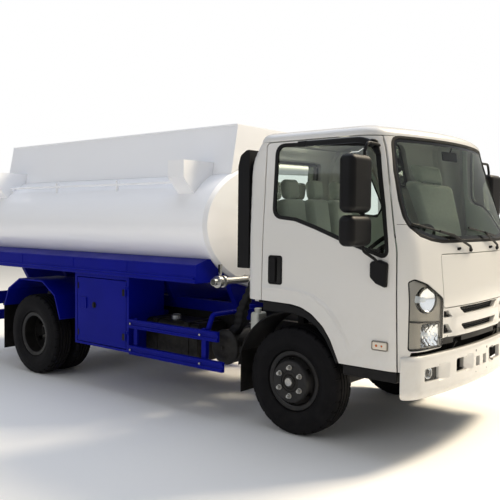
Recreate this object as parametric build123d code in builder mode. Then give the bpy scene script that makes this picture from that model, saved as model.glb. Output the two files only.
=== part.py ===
"""Tanker truck: a tilt-cab chassis on single front and twin rear wheels, carrying an oval liquid tank.

Millimetres. X runs forward, Y to the truck's left, Z up. The ground is at Z = 0 and the origin is under the
middle of the overall length and width. Right-hand pieces have negative Y.
"""

from build123d import *
from math import asin, cos, degrees, radians, sin, sqrt
import os

os.makedirs("parts", exist_ok=True)

# ---------------------------------------------------------------- driving dimensions
OVERALL_LENGTH = 5985
WHEELBASE = 3365
FRONT_OVERHANG = 1140
FRONT_AXLE_X = OVERALL_LENGTH / 2 - FRONT_OVERHANG
REAR_AXLE_X = FRONT_AXLE_X - WHEELBASE
REAR_END_X = -OVERALL_LENGTH / 2

SEAT_GAP = 0.3  # between a piece and what it seats on
RUN_GAP = 6  # between pieces that move past each other
PANEL_GAP = 8  # between a door or lid and its frame
PIN_GAP = 0.5  # radial play of a hinge or king pin
WELD = 1  # how far a welded-on piece reaches into its carrier
FAR = 4000  # longer than any cut

SIDES = (("right", -1), ("left", 1))

# wheels
TYRE_R = 428
TYRE_W = 233
TREAD_W = 176
SHOULDER_R = 414
BULGE_R = 318
FLANGE_R = 230
FLANGE_T = 9
RIM_R = 203
RIM_W = 172
RIM_WALL = 8
DISC_OFFSET = 135
DISC_T = 12
DISC_CREST_R = 160
PILOT_R = 82
HAND_HOLES = 6
HAND_HOLE_R = 16
HAND_HOLE_PCD = 356
HUB_R = 72
HUB_BORE_R = 40
REAR_BORE_R = 56
HUB_FLANGE_R = 138
HUB_FLANGE_T = 15
DRUM_R = 168
DRUM_WALL = 14
CAP_R = 46
FRONT_WHEEL_Y = 828
REAR_WHEEL_Y = 834
AXLE_Z = TYRE_R

# steering
KINGPIN_Y = 700
KINGPIN_R = 18

# ladder frame
RAIL_Y = 425
RAIL_H = 220
RAIL_FLANGE = 72
RAIL_T = 8
FRAME_TOP_Z = 800
FRAME_BOTTOM_Z = FRAME_TOP_Z - RAIL_H
FRAME_FRONT_X = FRONT_AXLE_X + 1035
FRAME_REAR_X = REAR_END_X + 85

# cab
CAB_BACK_X = FRONT_AXLE_X - 374
CAB_NOSE_X = FRONT_AXLE_X + 1125
CAB_HALF_W = 1010
CAB_ROOF_HALF_W = 980
CAB_BOTTOM_Z = 648
NOSE_BOTTOM_Z = 852
NOSE_BEND_Z = 1150
SCREEN_FOOT_Z = 1545
SCREEN_FOOT_BACK = 40
SCREEN_HEAD_Z = 2300
SCREEN_HEAD_BACK = 193
ROOF_SEAM_Z = 2292
NOSE_R = 5000
HEAD_R = 2050
BACK_LEAN = 60
CORNER_R = 200
BACK_CORNER_R = 80
CAB_WALL = 50
CAB_PIVOT_X = FRONT_AXLE_X + 1070
CAB_PIVOT_Z = 800

# tank
TANK_FRONT_X = FRONT_AXLE_X - 895
TANK_REAR_X = FRONT_AXLE_X - 4520
TANK_HALF_W = 1022
TANK_HALF_H = 605
TANK_Z = 1634
HEAD_DEPTH = 70
HEAD_FLAT = 0.55

# ---------------------------------------------------------------- shared helpers


def finish(build, name):
    """Label a finished piece and write it as one file."""
    build.part.label = name
    export_step(build.part, f"parts/{name}.step")


def slab(x, y, z, mode=Mode.ADD):
    """Block between two values along each axis."""
    with Locations(((x[0] + x[1]) / 2, (y[0] + y[1]) / 2, (z[0] + z[1]) / 2)):
        Box(abs(x[1] - x[0]), abs(y[1] - y[0]), abs(z[1] - z[0]), mode=mode)


def rod(start, end, radius, mode=Mode.ADD):
    """Round bar between two points."""
    first, last = Vector(*start), Vector(*end)
    with Locations(Plane(origin=(first + last) / 2, z_dir=last - first)):
        Cylinder(radius, (last - first).length, mode=mode)


def prism(outline, along, low, high, corner=0, grow=0):
    """Straight prism of a closed outline; the outline's coordinates are the two axes other than along."""
    planes = {"x": Plane.YZ, "y": Plane(origin=(0, 0, 0), x_dir=(1, 0, 0), z_dir=(0, -1, 0)), "z": Plane.XY}
    with BuildPart() as body:
        with BuildSketch(planes[along]) as face:
            with BuildLine():
                Polyline(*outline, close=True)
            make_face()
            if corner:
                fillet(face.vertices(), corner)
            if grow:
                offset(amount=grow, kind=Kind.INTERSECTION)
        extrude(amount=FAR, both=True)
        span = {"x": ((low, high), (-FAR, FAR), (-FAR, FAR)),
                "y": ((-FAR, FAR), (low, high), (-FAR, FAR)),
                "z": ((-FAR, FAR), (-FAR, FAR), (low, high))}[along]
        with Locations([tuple((a + b) / 2 for a, b in span)]):
            Box(*[abs(b - a) for a, b in span], mode=Mode.INTERSECT)
    return body.part


def tube(points, bend, radius):
    """Round pipe along straight runs joined by bends of one radius."""
    with BuildPart() as pipe:
        with BuildLine() as path:
            FilletPolyline(*points, radius=bend)
        with BuildSketch(Plane(origin=path.line @ 0, z_dir=path.line % 0)):
            Circle(radius)
        sweep()
    return pipe.part


def tank_form(grow, front, rear):
    """Oval cylinder of the tank's section, made larger by grow."""
    with BuildPart() as form:
        with BuildSketch(Plane.YZ.offset(rear)):
            with Locations((0, TANK_Z)):
                Ellipse(TANK_HALF_W + grow, TANK_HALF_H + grow)
        extrude(amount=front - rear)
    return form.part


# height, front of the nose, half width, radius of the front in plan, how far the back leans in, and how far
# all sides draw in for the roof's rounding
CAB_SECTIONS = (
    (CAB_BOTTOM_Z - 120, CAB_NOSE_X, CAB_HALF_W, NOSE_R, 0, 0),
    (NOSE_BEND_Z, CAB_NOSE_X, CAB_HALF_W, NOSE_R, 0, 0),
    (SCREEN_FOOT_Z, CAB_NOSE_X - SCREEN_FOOT_BACK, CAB_HALF_W, NOSE_R, 0, 0),
    (SCREEN_HEAD_Z, CAB_NOSE_X - SCREEN_HEAD_BACK, CAB_ROOF_HALF_W, HEAD_R, BACK_LEAN, 0),
    (SCREEN_HEAD_Z + 34, CAB_NOSE_X - SCREEN_HEAD_BACK, CAB_ROOF_HALF_W, HEAD_R, BACK_LEAN, 16),
    (SCREEN_HEAD_Z + 56, CAB_NOSE_X - SCREEN_HEAD_BACK, CAB_ROOF_HALF_W, HEAD_R, BACK_LEAN, 52),
    (SCREEN_HEAD_Z + 70, CAB_NOSE_X - SCREEN_HEAD_BACK, CAB_ROOF_HALF_W, HEAD_R, BACK_LEAN, 118),
)


def cab_form(inset):
    """Closed form of the cab, every face but the lowest moved in by inset."""
    with BuildPart() as form:
        for height, nose, half_width, front_r, lean, draw in CAB_SECTIONS:
            step = inset + draw
            width = half_width - step
            corner = max(CORNER_R - step, CORNER_R / 4)
            nose_r = front_r - step
            back_corner = max(BACK_CORNER_R - step, BACK_CORNER_R / 4)
            back = CAB_BACK_X + lean + step
            half_angle = degrees(asin((width - corner) / (nose_r - corner)))
            side_end = nose - step - nose_r + (nose_r - corner) * cos(radians(half_angle))
            top = height - inset if height > SCREEN_HEAD_Z - 1 else height
            with BuildSketch(Plane.XY.offset(top)):
                with BuildLine():
                    right = Line((back + back_corner, -width), (side_end, -width))
                    right_corner = JernArc(right @ 1, right % 1, corner, 90 - half_angle)
                    front = JernArc(right_corner @ 1, right_corner % 1, nose_r, 2 * half_angle)
                    left_corner = JernArc(front @ 1, front % 1, corner, 90 - half_angle)
                    left = Line(left_corner @ 1, (back + back_corner, width))
                    back_left = JernArc(left @ 1, left % 1, back_corner, 90)
                    rear = Line(back_left @ 1, (back, -width + back_corner))
                    JernArc(rear @ 1, rear % 1, back_corner, 90)
                make_face()
        loft(ruled=True)
    return form.part


def cab_section(z):
    """Front of the nose, half width, front radius and lean of the back at one height."""
    for low, high in zip(CAB_SECTIONS[:-1], CAB_SECTIONS[1:]):
        if low[0] <= z <= high[0]:
            share = (z - low[0]) / (high[0] - low[0])
            return tuple(a + (b - a) * share for a, b in zip(low[1:5], high[1:5]))
    return CAB_SECTIONS[-1][1:5]


def nose_x(y, z):
    """Where the cab's front surface lies at one height and one distance from the middle."""
    nose, _, front_r, _ = cab_section(z)
    return nose - front_r + sqrt(front_r**2 - y**2)


def side_y(z, x=0.0):
    """Half width of the cab at one height, and at one place along it."""
    nose, width, front_r, _ = cab_section(z)
    half_angle = asin((width - CORNER_R) / (front_r - CORNER_R))
    past = x - (nose - front_r + (front_r - CORNER_R) * cos(half_angle))
    return width if past <= 0 else width - CORNER_R + sqrt(CORNER_R**2 - past**2)


# ---------------------------------------------------------------- wheels and tyres
# radius, distance outboard of the wheel's middle plane
TYRE_OUTLINE = (
    (RIM_R + SEAT_GAP, RIM_W / 2 - FLANGE_T - SEAT_GAP),
    (FLANGE_R + FLANGE_T, RIM_W / 2 - FLANGE_T - SEAT_GAP),
    (FLANGE_R + 2 * FLANGE_T, RIM_W / 2 + FLANGE_T),
    (BULGE_R, TYRE_W / 2),
    (SHOULDER_R, TREAD_W / 2 + 8),
    (TYRE_R, TREAD_W / 2 - 8),
)
BARREL_OUTLINE = (
    (RIM_R - RIM_WALL, RIM_W / 2),
    (FLANGE_R, RIM_W / 2),
    (FLANGE_R, RIM_W / 2 - FLANGE_T),
    (RIM_R, RIM_W / 2 - FLANGE_T),
)
DISC_OUTLINE = (
    (RIM_R - WELD, DISC_OFFSET / 3),
    (RIM_R - WELD, DISC_OFFSET / 2),
    (DISC_CREST_R, DISC_OFFSET),
    (PILOT_R, DISC_OFFSET),
    (PILOT_R, DISC_OFFSET - DISC_T),
    (DISC_CREST_R - DISC_T, DISC_OFFSET - DISC_T),
)


def mirrored(half):
    """Outline of a symmetrical ring from its outboard half."""
    return half + tuple((r, -s) for r, s in reversed(half))


def ring(outline, x, y, outward):
    """Solid of revolution about the wheel's axis; outward is the way the outline's second column points."""
    with BuildPart() as body:
        with BuildSketch(Plane(origin=(x, y, AXLE_Z))):
            with BuildLine():
                Polyline(*[(r, s * outward) for r, s in outline], close=True)
            make_face()
        revolve(axis=Axis((x, y, AXLE_Z), (0, 1, 0)))
    return body.part


def drum(x, y, outward, start, end, outer, inner=0):
    """Plain ring or disc about the wheel's axis between two distances outboard of y."""
    outline = ((inner, start), (outer, start), (outer, end), (inner, end))
    return ring(outline, x, y, outward)


def wheel_holes(x, y, outward, faces):
    """Hand holes through the sloping part of each disc."""
    with BuildPart() as holes:
        for face_y in faces:
            with Locations(Plane(origin=(x, face_y, AXLE_Z), z_dir=(0, outward, 0))):
                with PolarLocations(HAND_HOLE_PCD / 2, HAND_HOLES, start_angle=30):
                    Cylinder(HAND_HOLE_R, DISC_OFFSET)
    return holes.part


front_tyres = {}
for side, sign in SIDES:
    wheel_y = sign * FRONT_WHEEL_Y
    with BuildPart() as tyre:
        add(ring(mirrored(TYRE_OUTLINE), FRONT_AXLE_X, wheel_y, sign))
    finish(tyre, f"front_tyre_{side}")
    with BuildPart() as wheel:
        add(ring(mirrored(BARREL_OUTLINE), FRONT_AXLE_X, wheel_y, sign))
        add(ring(DISC_OUTLINE, FRONT_AXLE_X, wheel_y, sign))
        add(wheel_holes(FRONT_AXLE_X, wheel_y + sign * DISC_OFFSET * 0.7, sign,
                        (wheel_y + sign * DISC_OFFSET * 0.7,)),
            mode=Mode.SUBTRACT)
        flange_out = DISC_OFFSET - DISC_T
        add(drum(FRONT_AXLE_X, wheel_y, sign, flange_out - HUB_FLANGE_T, flange_out, HUB_FLANGE_R,
                 HUB_BORE_R))
        add(drum(FRONT_AXLE_X, wheel_y, sign, -DISC_OFFSET / 3, DISC_OFFSET + HUB_FLANGE_T * 2, HUB_R,
                 HUB_BORE_R))
        add(drum(FRONT_AXLE_X, wheel_y, sign, DISC_OFFSET + HUB_FLANGE_T, DISC_OFFSET + HUB_FLANGE_T * 2,
                 HUB_R))
        add(drum(FRONT_AXLE_X, wheel_y, sign, DISC_OFFSET + HUB_FLANGE_T * 2,
                 DISC_OFFSET + HUB_FLANGE_T * 3, CAP_R))
        add(drum(FRONT_AXLE_X, wheel_y, sign, -DISC_OFFSET / 3, flange_out, DRUM_R, DRUM_R - DRUM_WALL))
        add(drum(FRONT_AXLE_X, wheel_y, sign, flange_out - HUB_FLANGE_T * 2,
                 flange_out - HUB_FLANGE_T + WELD,
                 DRUM_R, HUB_BORE_R))
    finish(wheel, f"front_wheel_{side}")


for side, sign in SIDES:
    face_y = sign * REAR_WHEEL_Y
    inner_y = face_y - sign * DISC_OFFSET
    outer_y = face_y + sign * DISC_OFFSET
    with BuildPart() as tyres:
        for wheel_y in (inner_y, outer_y):
            add(ring(mirrored(TYRE_OUTLINE), REAR_AXLE_X, wheel_y, sign))
    finish(tyres, f"rear_tyres_{side}")
    with BuildPart() as wheels:
        for wheel_y, outward in ((inner_y, sign), (outer_y, -sign)):
            add(ring(mirrored(BARREL_OUTLINE), REAR_AXLE_X, wheel_y, outward))
            add(ring(DISC_OUTLINE, REAR_AXLE_X, wheel_y, outward))
        add(wheel_holes(REAR_AXLE_X, 0, sign,
                        (inner_y + sign * DISC_OFFSET * 0.7, outer_y - sign * DISC_OFFSET * 0.7)),
            mode=Mode.SUBTRACT)
        add(drum(REAR_AXLE_X, face_y, sign, -DISC_T - HUB_FLANGE_T, -DISC_T, HUB_FLANGE_R, REAR_BORE_R))
        add(drum(REAR_AXLE_X, face_y, sign, -DISC_OFFSET, DISC_T + HUB_FLANGE_T, HUB_R, REAR_BORE_R))
        add(drum(REAR_AXLE_X, face_y, sign, DISC_T + WELD, DISC_T + 2 * HUB_FLANGE_T, 95))
        add(drum(REAR_AXLE_X, face_y, sign, DISC_T + 2 * HUB_FLANGE_T, DISC_T + 4 * HUB_FLANGE_T, CAP_R))
        add(drum(REAR_AXLE_X, face_y, sign, -DISC_OFFSET, -DISC_T, DRUM_R, DRUM_R - DRUM_WALL))
        add(drum(REAR_AXLE_X, face_y, sign, -DISC_T - HUB_FLANGE_T, -DISC_T, DRUM_R, HUB_R))
    finish(wheels, f"rear_wheels_{side}")

# ---------------------------------------------------------------- axles, knuckles and springs
EYE_R = 40
EYE_H = 96
EAR_T = 30
SPRING_Y = RAIL_Y - RAIL_FLANGE / 2
SPRING_W = 70
LEAF_T = 10
LEAVES = 5
FRONT_BEAM_DROP = 96
REAR_TUBE_R = 48
DIFF_R = 165
SPINDLE_R = HUB_BORE_R - PIN_GAP

with BuildPart() as axles:
    beam_z = AXLE_Z - FRONT_BEAM_DROP
    slab((FRONT_AXLE_X - 38, FRONT_AXLE_X + 38), (-KINGPIN_Y + 110, KINGPIN_Y - 110),
         (beam_z - 45, beam_z + 45))
    for sign in (-1, 1):
        rod((FRONT_AXLE_X, sign * (KINGPIN_Y - 130), beam_z),
            (FRONT_AXLE_X, sign * (KINGPIN_Y - 66), AXLE_Z), 36)
        slab((FRONT_AXLE_X - 34, FRONT_AXLE_X + 34),
             (sign * (KINGPIN_Y - 80), sign * (KINGPIN_Y - EYE_R / 2)),
             (AXLE_Z - 38, AXLE_Z + 38))
        with Locations((FRONT_AXLE_X, sign * KINGPIN_Y, AXLE_Z)):
            Cylinder(EYE_R, EYE_H)
            Cylinder(KINGPIN_R + PIN_GAP, EYE_H + 2 * WELD, mode=Mode.SUBTRACT)
    rod((REAR_AXLE_X, -REAR_WHEEL_Y + 40, AXLE_Z), (REAR_AXLE_X, REAR_WHEEL_Y - 40, AXLE_Z), REAR_TUBE_R)
    with Locations((REAR_AXLE_X, 0, AXLE_Z)):
        Sphere(DIFF_R)
    rod((REAR_AXLE_X, 0, AXLE_Z), (REAR_AXLE_X + DIFF_R + 95, 0, AXLE_Z + 20), 60)
    for sign in (-1, 1):
        backing_y = sign * (REAR_WHEEL_Y - DISC_OFFSET)
        rod((REAR_AXLE_X, backing_y - sign * 14, AXLE_Z), (REAR_AXLE_X, backing_y - sign * 6, AXLE_Z),
            DRUM_R)
        rod((REAR_AXLE_X, backing_y + sign * 20, AXLE_Z), (REAR_AXLE_X, backing_y + sign * 60, AXLE_Z),
            REAR_BORE_R - PIN_GAP)
finish(axles, "axles")

for side, sign in SIDES:
    with BuildPart() as knuckle:
        pin_y = sign * KINGPIN_Y
        web_y = sign * (KINGPIN_Y + EYE_R + RUN_GAP)
        plate_y = web_y + sign * 22
        with Locations((FRONT_AXLE_X, pin_y, AXLE_Z)):
            Cylinder(KINGPIN_R, EYE_H + 2 * (EAR_T + RUN_GAP))
        for up in (-1, 1):
            ear_z = AXLE_Z + up * (EYE_H / 2 + RUN_GAP + EAR_T / 2)
            with Locations((FRONT_AXLE_X, pin_y, ear_z)):
                Cylinder(EYE_R, EAR_T)
            slab((FRONT_AXLE_X - EYE_R, FRONT_AXLE_X + EYE_R), (pin_y, plate_y),
                 (ear_z - EAR_T / 2, ear_z + EAR_T / 2))
        slab((FRONT_AXLE_X - EYE_R, FRONT_AXLE_X + EYE_R), (web_y, plate_y),
             (AXLE_Z - EYE_H / 2 - EAR_T, AXLE_Z + EYE_H / 2 + EAR_T))
        rod((FRONT_AXLE_X, plate_y - sign * WELD, AXLE_Z), (FRONT_AXLE_X, plate_y + sign * 8, AXLE_Z),
            DRUM_R)
        rod((FRONT_AXLE_X, plate_y, AXLE_Z),
            (FRONT_AXLE_X, sign * (FRONT_WHEEL_Y + DISC_OFFSET - DISC_T), AXLE_Z),
            SPINDLE_R)
        rod((FRONT_AXLE_X - EYE_R, plate_y - sign * 14, AXLE_Z - 85),
            (FRONT_AXLE_X - 190, pin_y + sign * 4, AXLE_Z - 85), 14)
    finish(knuckle, f"knuckle_{side}")

# centre, height over the axle, half span
SPRING_SETS = ((FRONT_AXLE_X, AXLE_Z - FRONT_BEAM_DROP + 45, 560), (REAR_AXLE_X, AXLE_Z + REAR_TUBE_R, 600))
with BuildPart() as leaf_springs:
    for centre, seat_z, half_span in SPRING_SETS:
        hanger_z = FRAME_BOTTOM_Z - 55
        for sign in (-1, 1):
            spring_y = (sign * SPRING_Y - SPRING_W / 2, sign * SPRING_Y + SPRING_W / 2)
            slab((centre - 60, centre + 60), spring_y, (seat_z + SEAT_GAP, seat_z + 20))
            for leaf in range(LEAVES):
                reach = half_span * (leaf + 2) / (LEAVES + 1)
                low = seat_z + 18 + leaf * LEAF_T
                rise = (hanger_z - seat_z - 18 - LEAVES * LEAF_T) * (reach / half_span) ** 2
                outline = ((centre - reach, low + rise), (centre, low), (centre + reach, low + rise),
                           (centre + reach, low + rise + LEAF_T + WELD), (centre, low + LEAF_T + WELD),
                           (centre - reach, low + rise + LEAF_T + WELD))
                add(prism(outline, "y", *spring_y))
            for end in (-1, 1):
                slab((centre + end * half_span - 25, centre + end * half_span + 25), spring_y,
                     (hanger_z - LEAF_T, FRAME_BOTTOM_Z - SEAT_GAP))
finish(leaf_springs, "leaf_springs")

# ---------------------------------------------------------------- ladder frame and what hangs on it
# cross members: place along the frame, low and high edge
CROSS_MEMBERS = (
    (FRAME_FRONT_X - 60, FRAME_BOTTOM_Z + 4, FRAME_TOP_Z - 110),
    (FRONT_AXLE_X - 1060, FRAME_BOTTOM_Z + 4, FRAME_BOTTOM_Z + 70),
    (FRONT_AXLE_X - 1500, FRAME_TOP_Z - 90, FRAME_TOP_Z - 4),
    (REAR_AXLE_X + 640, FRAME_TOP_Z - 90, FRAME_TOP_Z - 4),
    (REAR_AXLE_X - 600, FRAME_BOTTOM_Z + 4, FRAME_TOP_Z - 110),
    (FRAME_REAR_X + 45, FRAME_BOTTOM_Z + 4, FRAME_TOP_Z - 110),
)
CAB_EAR_Y = 385
CAB_EAR_T = 20
CAB_EAR_R = 28
CAB_PIN_R = 14
REST_X = CAB_BACK_X + CAB_WALL + 40
FLOOR_Z = (1020, 1045)

with BuildPart() as chassis_frame:
    for sign in (-1, 1):
        web = (sign * RAIL_Y, sign * (RAIL_Y - RAIL_T))
        lips = (sign * RAIL_Y, sign * (RAIL_Y - RAIL_FLANGE))
        slab((FRAME_REAR_X, FRAME_FRONT_X), web, (FRAME_BOTTOM_Z, FRAME_TOP_Z))
        slab((FRAME_REAR_X, FRAME_FRONT_X), lips, (FRAME_TOP_Z - RAIL_T, FRAME_TOP_Z))
        slab((FRAME_REAR_X, FRAME_FRONT_X), lips, (FRAME_BOTTOM_Z, FRAME_BOTTOM_Z + RAIL_T))
        ear = ((FRAME_FRONT_X - 90, FRAME_TOP_Z - 120), (FRAME_FRONT_X, FRAME_TOP_Z - 120),
               (CAB_PIVOT_X + CAB_EAR_R, CAB_PIVOT_Z), (CAB_PIVOT_X, CAB_PIVOT_Z + CAB_EAR_R),
               (CAB_PIVOT_X - CAB_EAR_R, CAB_PIVOT_Z + CAB_EAR_R), (FRAME_FRONT_X - 90,
                                                                    FRAME_TOP_Z - RAIL_T))
        add(prism(ear, "y", *sorted((sign * CAB_EAR_Y, sign * (CAB_EAR_Y + CAB_EAR_T)))))
        rod((CAB_PIVOT_X, sign * (CAB_EAR_Y + CAB_EAR_T + 8), CAB_PIVOT_Z),
            (CAB_PIVOT_X, sign * (CAB_EAR_Y - 45), CAB_PIVOT_Z),
            CAB_PIN_R)
        slab((FRAME_FRONT_X - 60, FRAME_FRONT_X), (sign * (RAIL_Y - RAIL_T), sign * CAB_EAR_Y),
             (FRAME_TOP_Z - 120, FRAME_TOP_Z - 60))
        slab((REST_X - 30, REST_X + 30), (sign * (RAIL_Y - 70), sign * RAIL_Y),
             (FRAME_TOP_Z - WELD, FLOOR_Z[0] - SEAT_GAP))
    for place, low, high in CROSS_MEMBERS:
        slab((place - 30, place + 30), (-RAIL_Y + RAIL_T / 2, RAIL_Y - RAIL_T / 2), (low, high))
finish(chassis_frame, "chassis_frame")

ENGINE_TOP_Z = 1110
ENGINE_HALF_W = 255
ENGINE_X = (FRONT_AXLE_X - 310, FRONT_AXLE_X + 470)
GEARBOX_END_X = FRONT_AXLE_X - 960
with BuildPart() as driveline:
    slab(ENGINE_X, (-ENGINE_HALF_W, ENGINE_HALF_W), (FRAME_BOTTOM_Z + 20, ENGINE_TOP_Z))
    slab((ENGINE_X[0] + 90, ENGINE_X[1] - 350), (-170, 170), (AXLE_Z + 40, FRAME_BOTTOM_Z + 21))
    rod((ENGINE_X[0] + WELD, 0, 740), (ENGINE_X[0] - 170, 0, 740), 210)
    rod((ENGINE_X[0] - 169, 0, 740), (GEARBOX_END_X, 0, 722), 125)
    rod((GEARBOX_END_X + WELD, 0, 722), (REAR_AXLE_X + DIFF_R + 95 + 2 * RUN_GAP, 0, AXLE_Z + 21), 42)
    slab((ENGINE_X[1] - WELD, ENGINE_X[1] + 130), (-40, 40), (700, 780))
    slab((ENGINE_X[1] + 120, ENGINE_X[1] + 190), (-330, 330), (FRAME_BOTTOM_Z + 20, 826))
    for sign in (-1, 1):
        slab((FRONT_AXLE_X + 60, FRONT_AXLE_X + 180),
             (sign * (ENGINE_HALF_W - WELD), sign * (RAIL_Y - RAIL_T - SEAT_GAP)),
             (690, 760))
finish(driveline, "driveline")

EXHAUST_Y = 255
EXHAUST_Z = 452
MUFFLER_R = 118
MUFFLER_X = (FRONT_AXLE_X - 1850, FRONT_AXLE_X - 1250)
PIPE_R = 32
with BuildPart() as exhaust:
    slab((FRONT_AXLE_X - 240, FRONT_AXLE_X - 170), (ENGINE_HALF_W + SEAT_GAP, 320), (600, 690))
    add(tube(((FRONT_AXLE_X - 205, 290, 640), (FRONT_AXLE_X - 560, 290, 640),
              (FRONT_AXLE_X - 900, EXHAUST_Y, EXHAUST_Z),
              (MUFFLER_X[1] - WELD, EXHAUST_Y, EXHAUST_Z)), 90, PIPE_R))
    rod((MUFFLER_X[0], EXHAUST_Y, EXHAUST_Z), (MUFFLER_X[1], EXHAUST_Y, EXHAUST_Z), MUFFLER_R)
    rod((MUFFLER_X[0] + WELD, EXHAUST_Y, EXHAUST_Z), (MUFFLER_X[0] - 700, EXHAUST_Y, EXHAUST_Z), PIPE_R)
    slab((CROSS_MEMBERS[2][0] - 15, CROSS_MEMBERS[2][0] + 15), (EXHAUST_Y - 20, EXHAUST_Y + 20),
         (EXHAUST_Z + MUFFLER_R - 12, CROSS_MEMBERS[2][1] - SEAT_GAP))
finish(exhaust, "exhaust")

FUEL_X = (FRONT_AXLE_X - 1790, FRONT_AXLE_X - 1113)
FUEL_Y = (-850, -460)
FUEL_Z = (400, 745)
with BuildPart() as fuel_tank:
    slab(FUEL_X, FUEL_Y, FUEL_Z)
    fillet(fuel_tank.edges().filter_by(Axis.X), 60)
    for place in (FUEL_X[0] + 130, FUEL_X[1] - 130):
        slab((place - 25, place + 25), (FUEL_Y[0] - 6, FUEL_Y[1]), (FUEL_Z[0] - 6, FUEL_Z[1] + 6))
        slab((place - 25, place + 25), (FUEL_Y[1] - WELD, -RAIL_Y - SEAT_GAP),
             (FRAME_BOTTOM_Z + 30, FUEL_Z[1]))
    rod((FUEL_X[0] + 300, FUEL_Y[0] + 110, FUEL_Z[1] - WELD),
        (FUEL_X[0] + 300, FUEL_Y[0] + 110, FUEL_Z[1] + 45), 45)
finish(fuel_tank, "fuel_tank")

with BuildPart() as battery_box:
    slab((FRONT_AXLE_X - 1120, FRONT_AXLE_X - 680), (470, 850), (470, 760))
    slab((FRONT_AXLE_X - 1130, FRONT_AXLE_X - 670), (462, 858), (690, 775))
    slab((FRONT_AXLE_X - 1060, FRONT_AXLE_X - 740), (RAIL_Y + SEAT_GAP, 471), (600, 660))
finish(battery_box, "battery_box")

CLEANER_X = FRONT_AXLE_X - 760
CLEANER_Z = 590
CLEANER_R = 145
DUCT_X = (FRONT_AXLE_X - 536, FRONT_AXLE_X - 410)
DUCT_Y = (-965, -800)
DUCT_SPLIT_Z = 1265
DUCT_TOP_Z = 2245
with BuildPart() as air_cleaner:
    rod((CLEANER_X, -900, CLEANER_Z), (CLEANER_X, -500, CLEANER_Z), CLEANER_R)
    rod((CLEANER_X, -905, CLEANER_Z), (CLEANER_X, -860, CLEANER_Z), CLEANER_R + 8)
    slab((CLEANER_X - 40, CLEANER_X + 40), (-560, -RAIL_Y - SEAT_GAP), (CLEANER_Z, FRAME_TOP_Z - 40))
    with BuildSketch(Plane.XY.offset(CLEANER_Z + 60)):
        with Locations((CLEANER_X, -830)):
            Rectangle(200, 200)
    with BuildSketch(Plane.XY.offset(CLEANER_Z + 240)):
        with Locations((CLEANER_X + 60, -850)):
            Rectangle(160, 150)
    with BuildSketch(Plane.XY.offset(DUCT_SPLIT_Z - RUN_GAP)):
        with Locations(((DUCT_X[0] + DUCT_X[1]) / 2, (DUCT_Y[0] + DUCT_Y[1]) / 2)):
            Rectangle(DUCT_X[1] - DUCT_X[0], DUCT_Y[1] - DUCT_Y[0])
    loft(ruled=True)
finish(air_cleaner, "air_cleaner")

with BuildPart() as coolant_bottle:
    slab((FRONT_AXLE_X - 570, FRONT_AXLE_X - 480), (-770, -640), (730, 900))
    fillet(coolant_bottle.edges().filter_by(Axis.Z), 25)
    rod((FRONT_AXLE_X - 525, -715, 899), (FRONT_AXLE_X - 525, -715, 935), 30)
    slab((FRONT_AXLE_X - 560, FRONT_AXLE_X - 490), (-641, -RAIL_Y - SEAT_GAP), (740, 765))
finish(coolant_bottle, "coolant_bottle")

# ---------------------------------------------------------------- tank and what it carries
COAMING_FOOT_Z = 2030
COAMING_TOP_Z = 2537
COAMING_TOP_Y = 587
COAMING_FOOT_Y = 686
COAMING_WALL = 10
COAMING_X = (FRONT_AXLE_X - 4534, FRONT_AXLE_X - 880)
WALK_Z = 2262
MANHOLE_XS = (FRONT_AXLE_X - 1750, FRONT_AXLE_X - 3650)
MANHOLE_R = 250
MANHOLE_WALL = 12
MANHOLE_TOP_Z = 2330
LID_T = 14
LID_REACH = 22

with BuildPart() as tank_shell:
    add(tank_form(0, TANK_FRONT_X, TANK_REAR_X))
    for end_x, way in ((TANK_FRONT_X, 1), (TANK_REAR_X, -1)):
        with BuildSketch(Plane.YZ.offset(end_x)):
            with Locations((0, TANK_Z)):
                Ellipse(TANK_HALF_W, TANK_HALF_H)
        with BuildSketch(Plane.YZ.offset(end_x + way * HEAD_DEPTH * 0.45)):
            with Locations((0, TANK_Z)):
                Ellipse(TANK_HALF_W - HEAD_DEPTH * 0.4, TANK_HALF_H - HEAD_DEPTH * 0.4)
        loft(ruled=True)
        with BuildSketch(Plane.YZ.offset(end_x + way * HEAD_DEPTH * 0.45)):
            with Locations((0, TANK_Z)):
                Ellipse(TANK_HALF_W - HEAD_DEPTH * 0.4, TANK_HALF_H - HEAD_DEPTH * 0.4)
        with BuildSketch(Plane.YZ.offset(end_x + way * HEAD_DEPTH)):
            with Locations((0, TANK_Z)):
                Ellipse(TANK_HALF_W * HEAD_FLAT, TANK_HALF_H * HEAD_FLAT)
        loft(ruled=True)
    for place in MANHOLE_XS:
        rod((place, 0, TANK_Z + TANK_HALF_H - 20), (place, 0, MANHOLE_TOP_Z), MANHOLE_R)
        rod((place, 0, WALK_Z), (place, 0, MANHOLE_TOP_Z + WELD), MANHOLE_R - MANHOLE_WALL,
            mode=Mode.SUBTRACT)
finish(tank_shell, "tank_shell")


def coaming_shape(inset, top, foot):
    """Long tapered block of the walkway box."""
    lean = (COAMING_FOOT_Y - COAMING_TOP_Y) / (COAMING_TOP_Z - COAMING_FOOT_Z)
    top_y = COAMING_TOP_Y - inset - lean * (top - COAMING_TOP_Z)
    foot_y = COAMING_TOP_Y - inset - lean * (foot - COAMING_TOP_Z)
    outline = ((-foot_y, foot), (foot_y, foot), (top_y, top), (-top_y, top))
    return prism(outline, "x", COAMING_X[0] + inset, COAMING_X[1] - inset)


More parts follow.
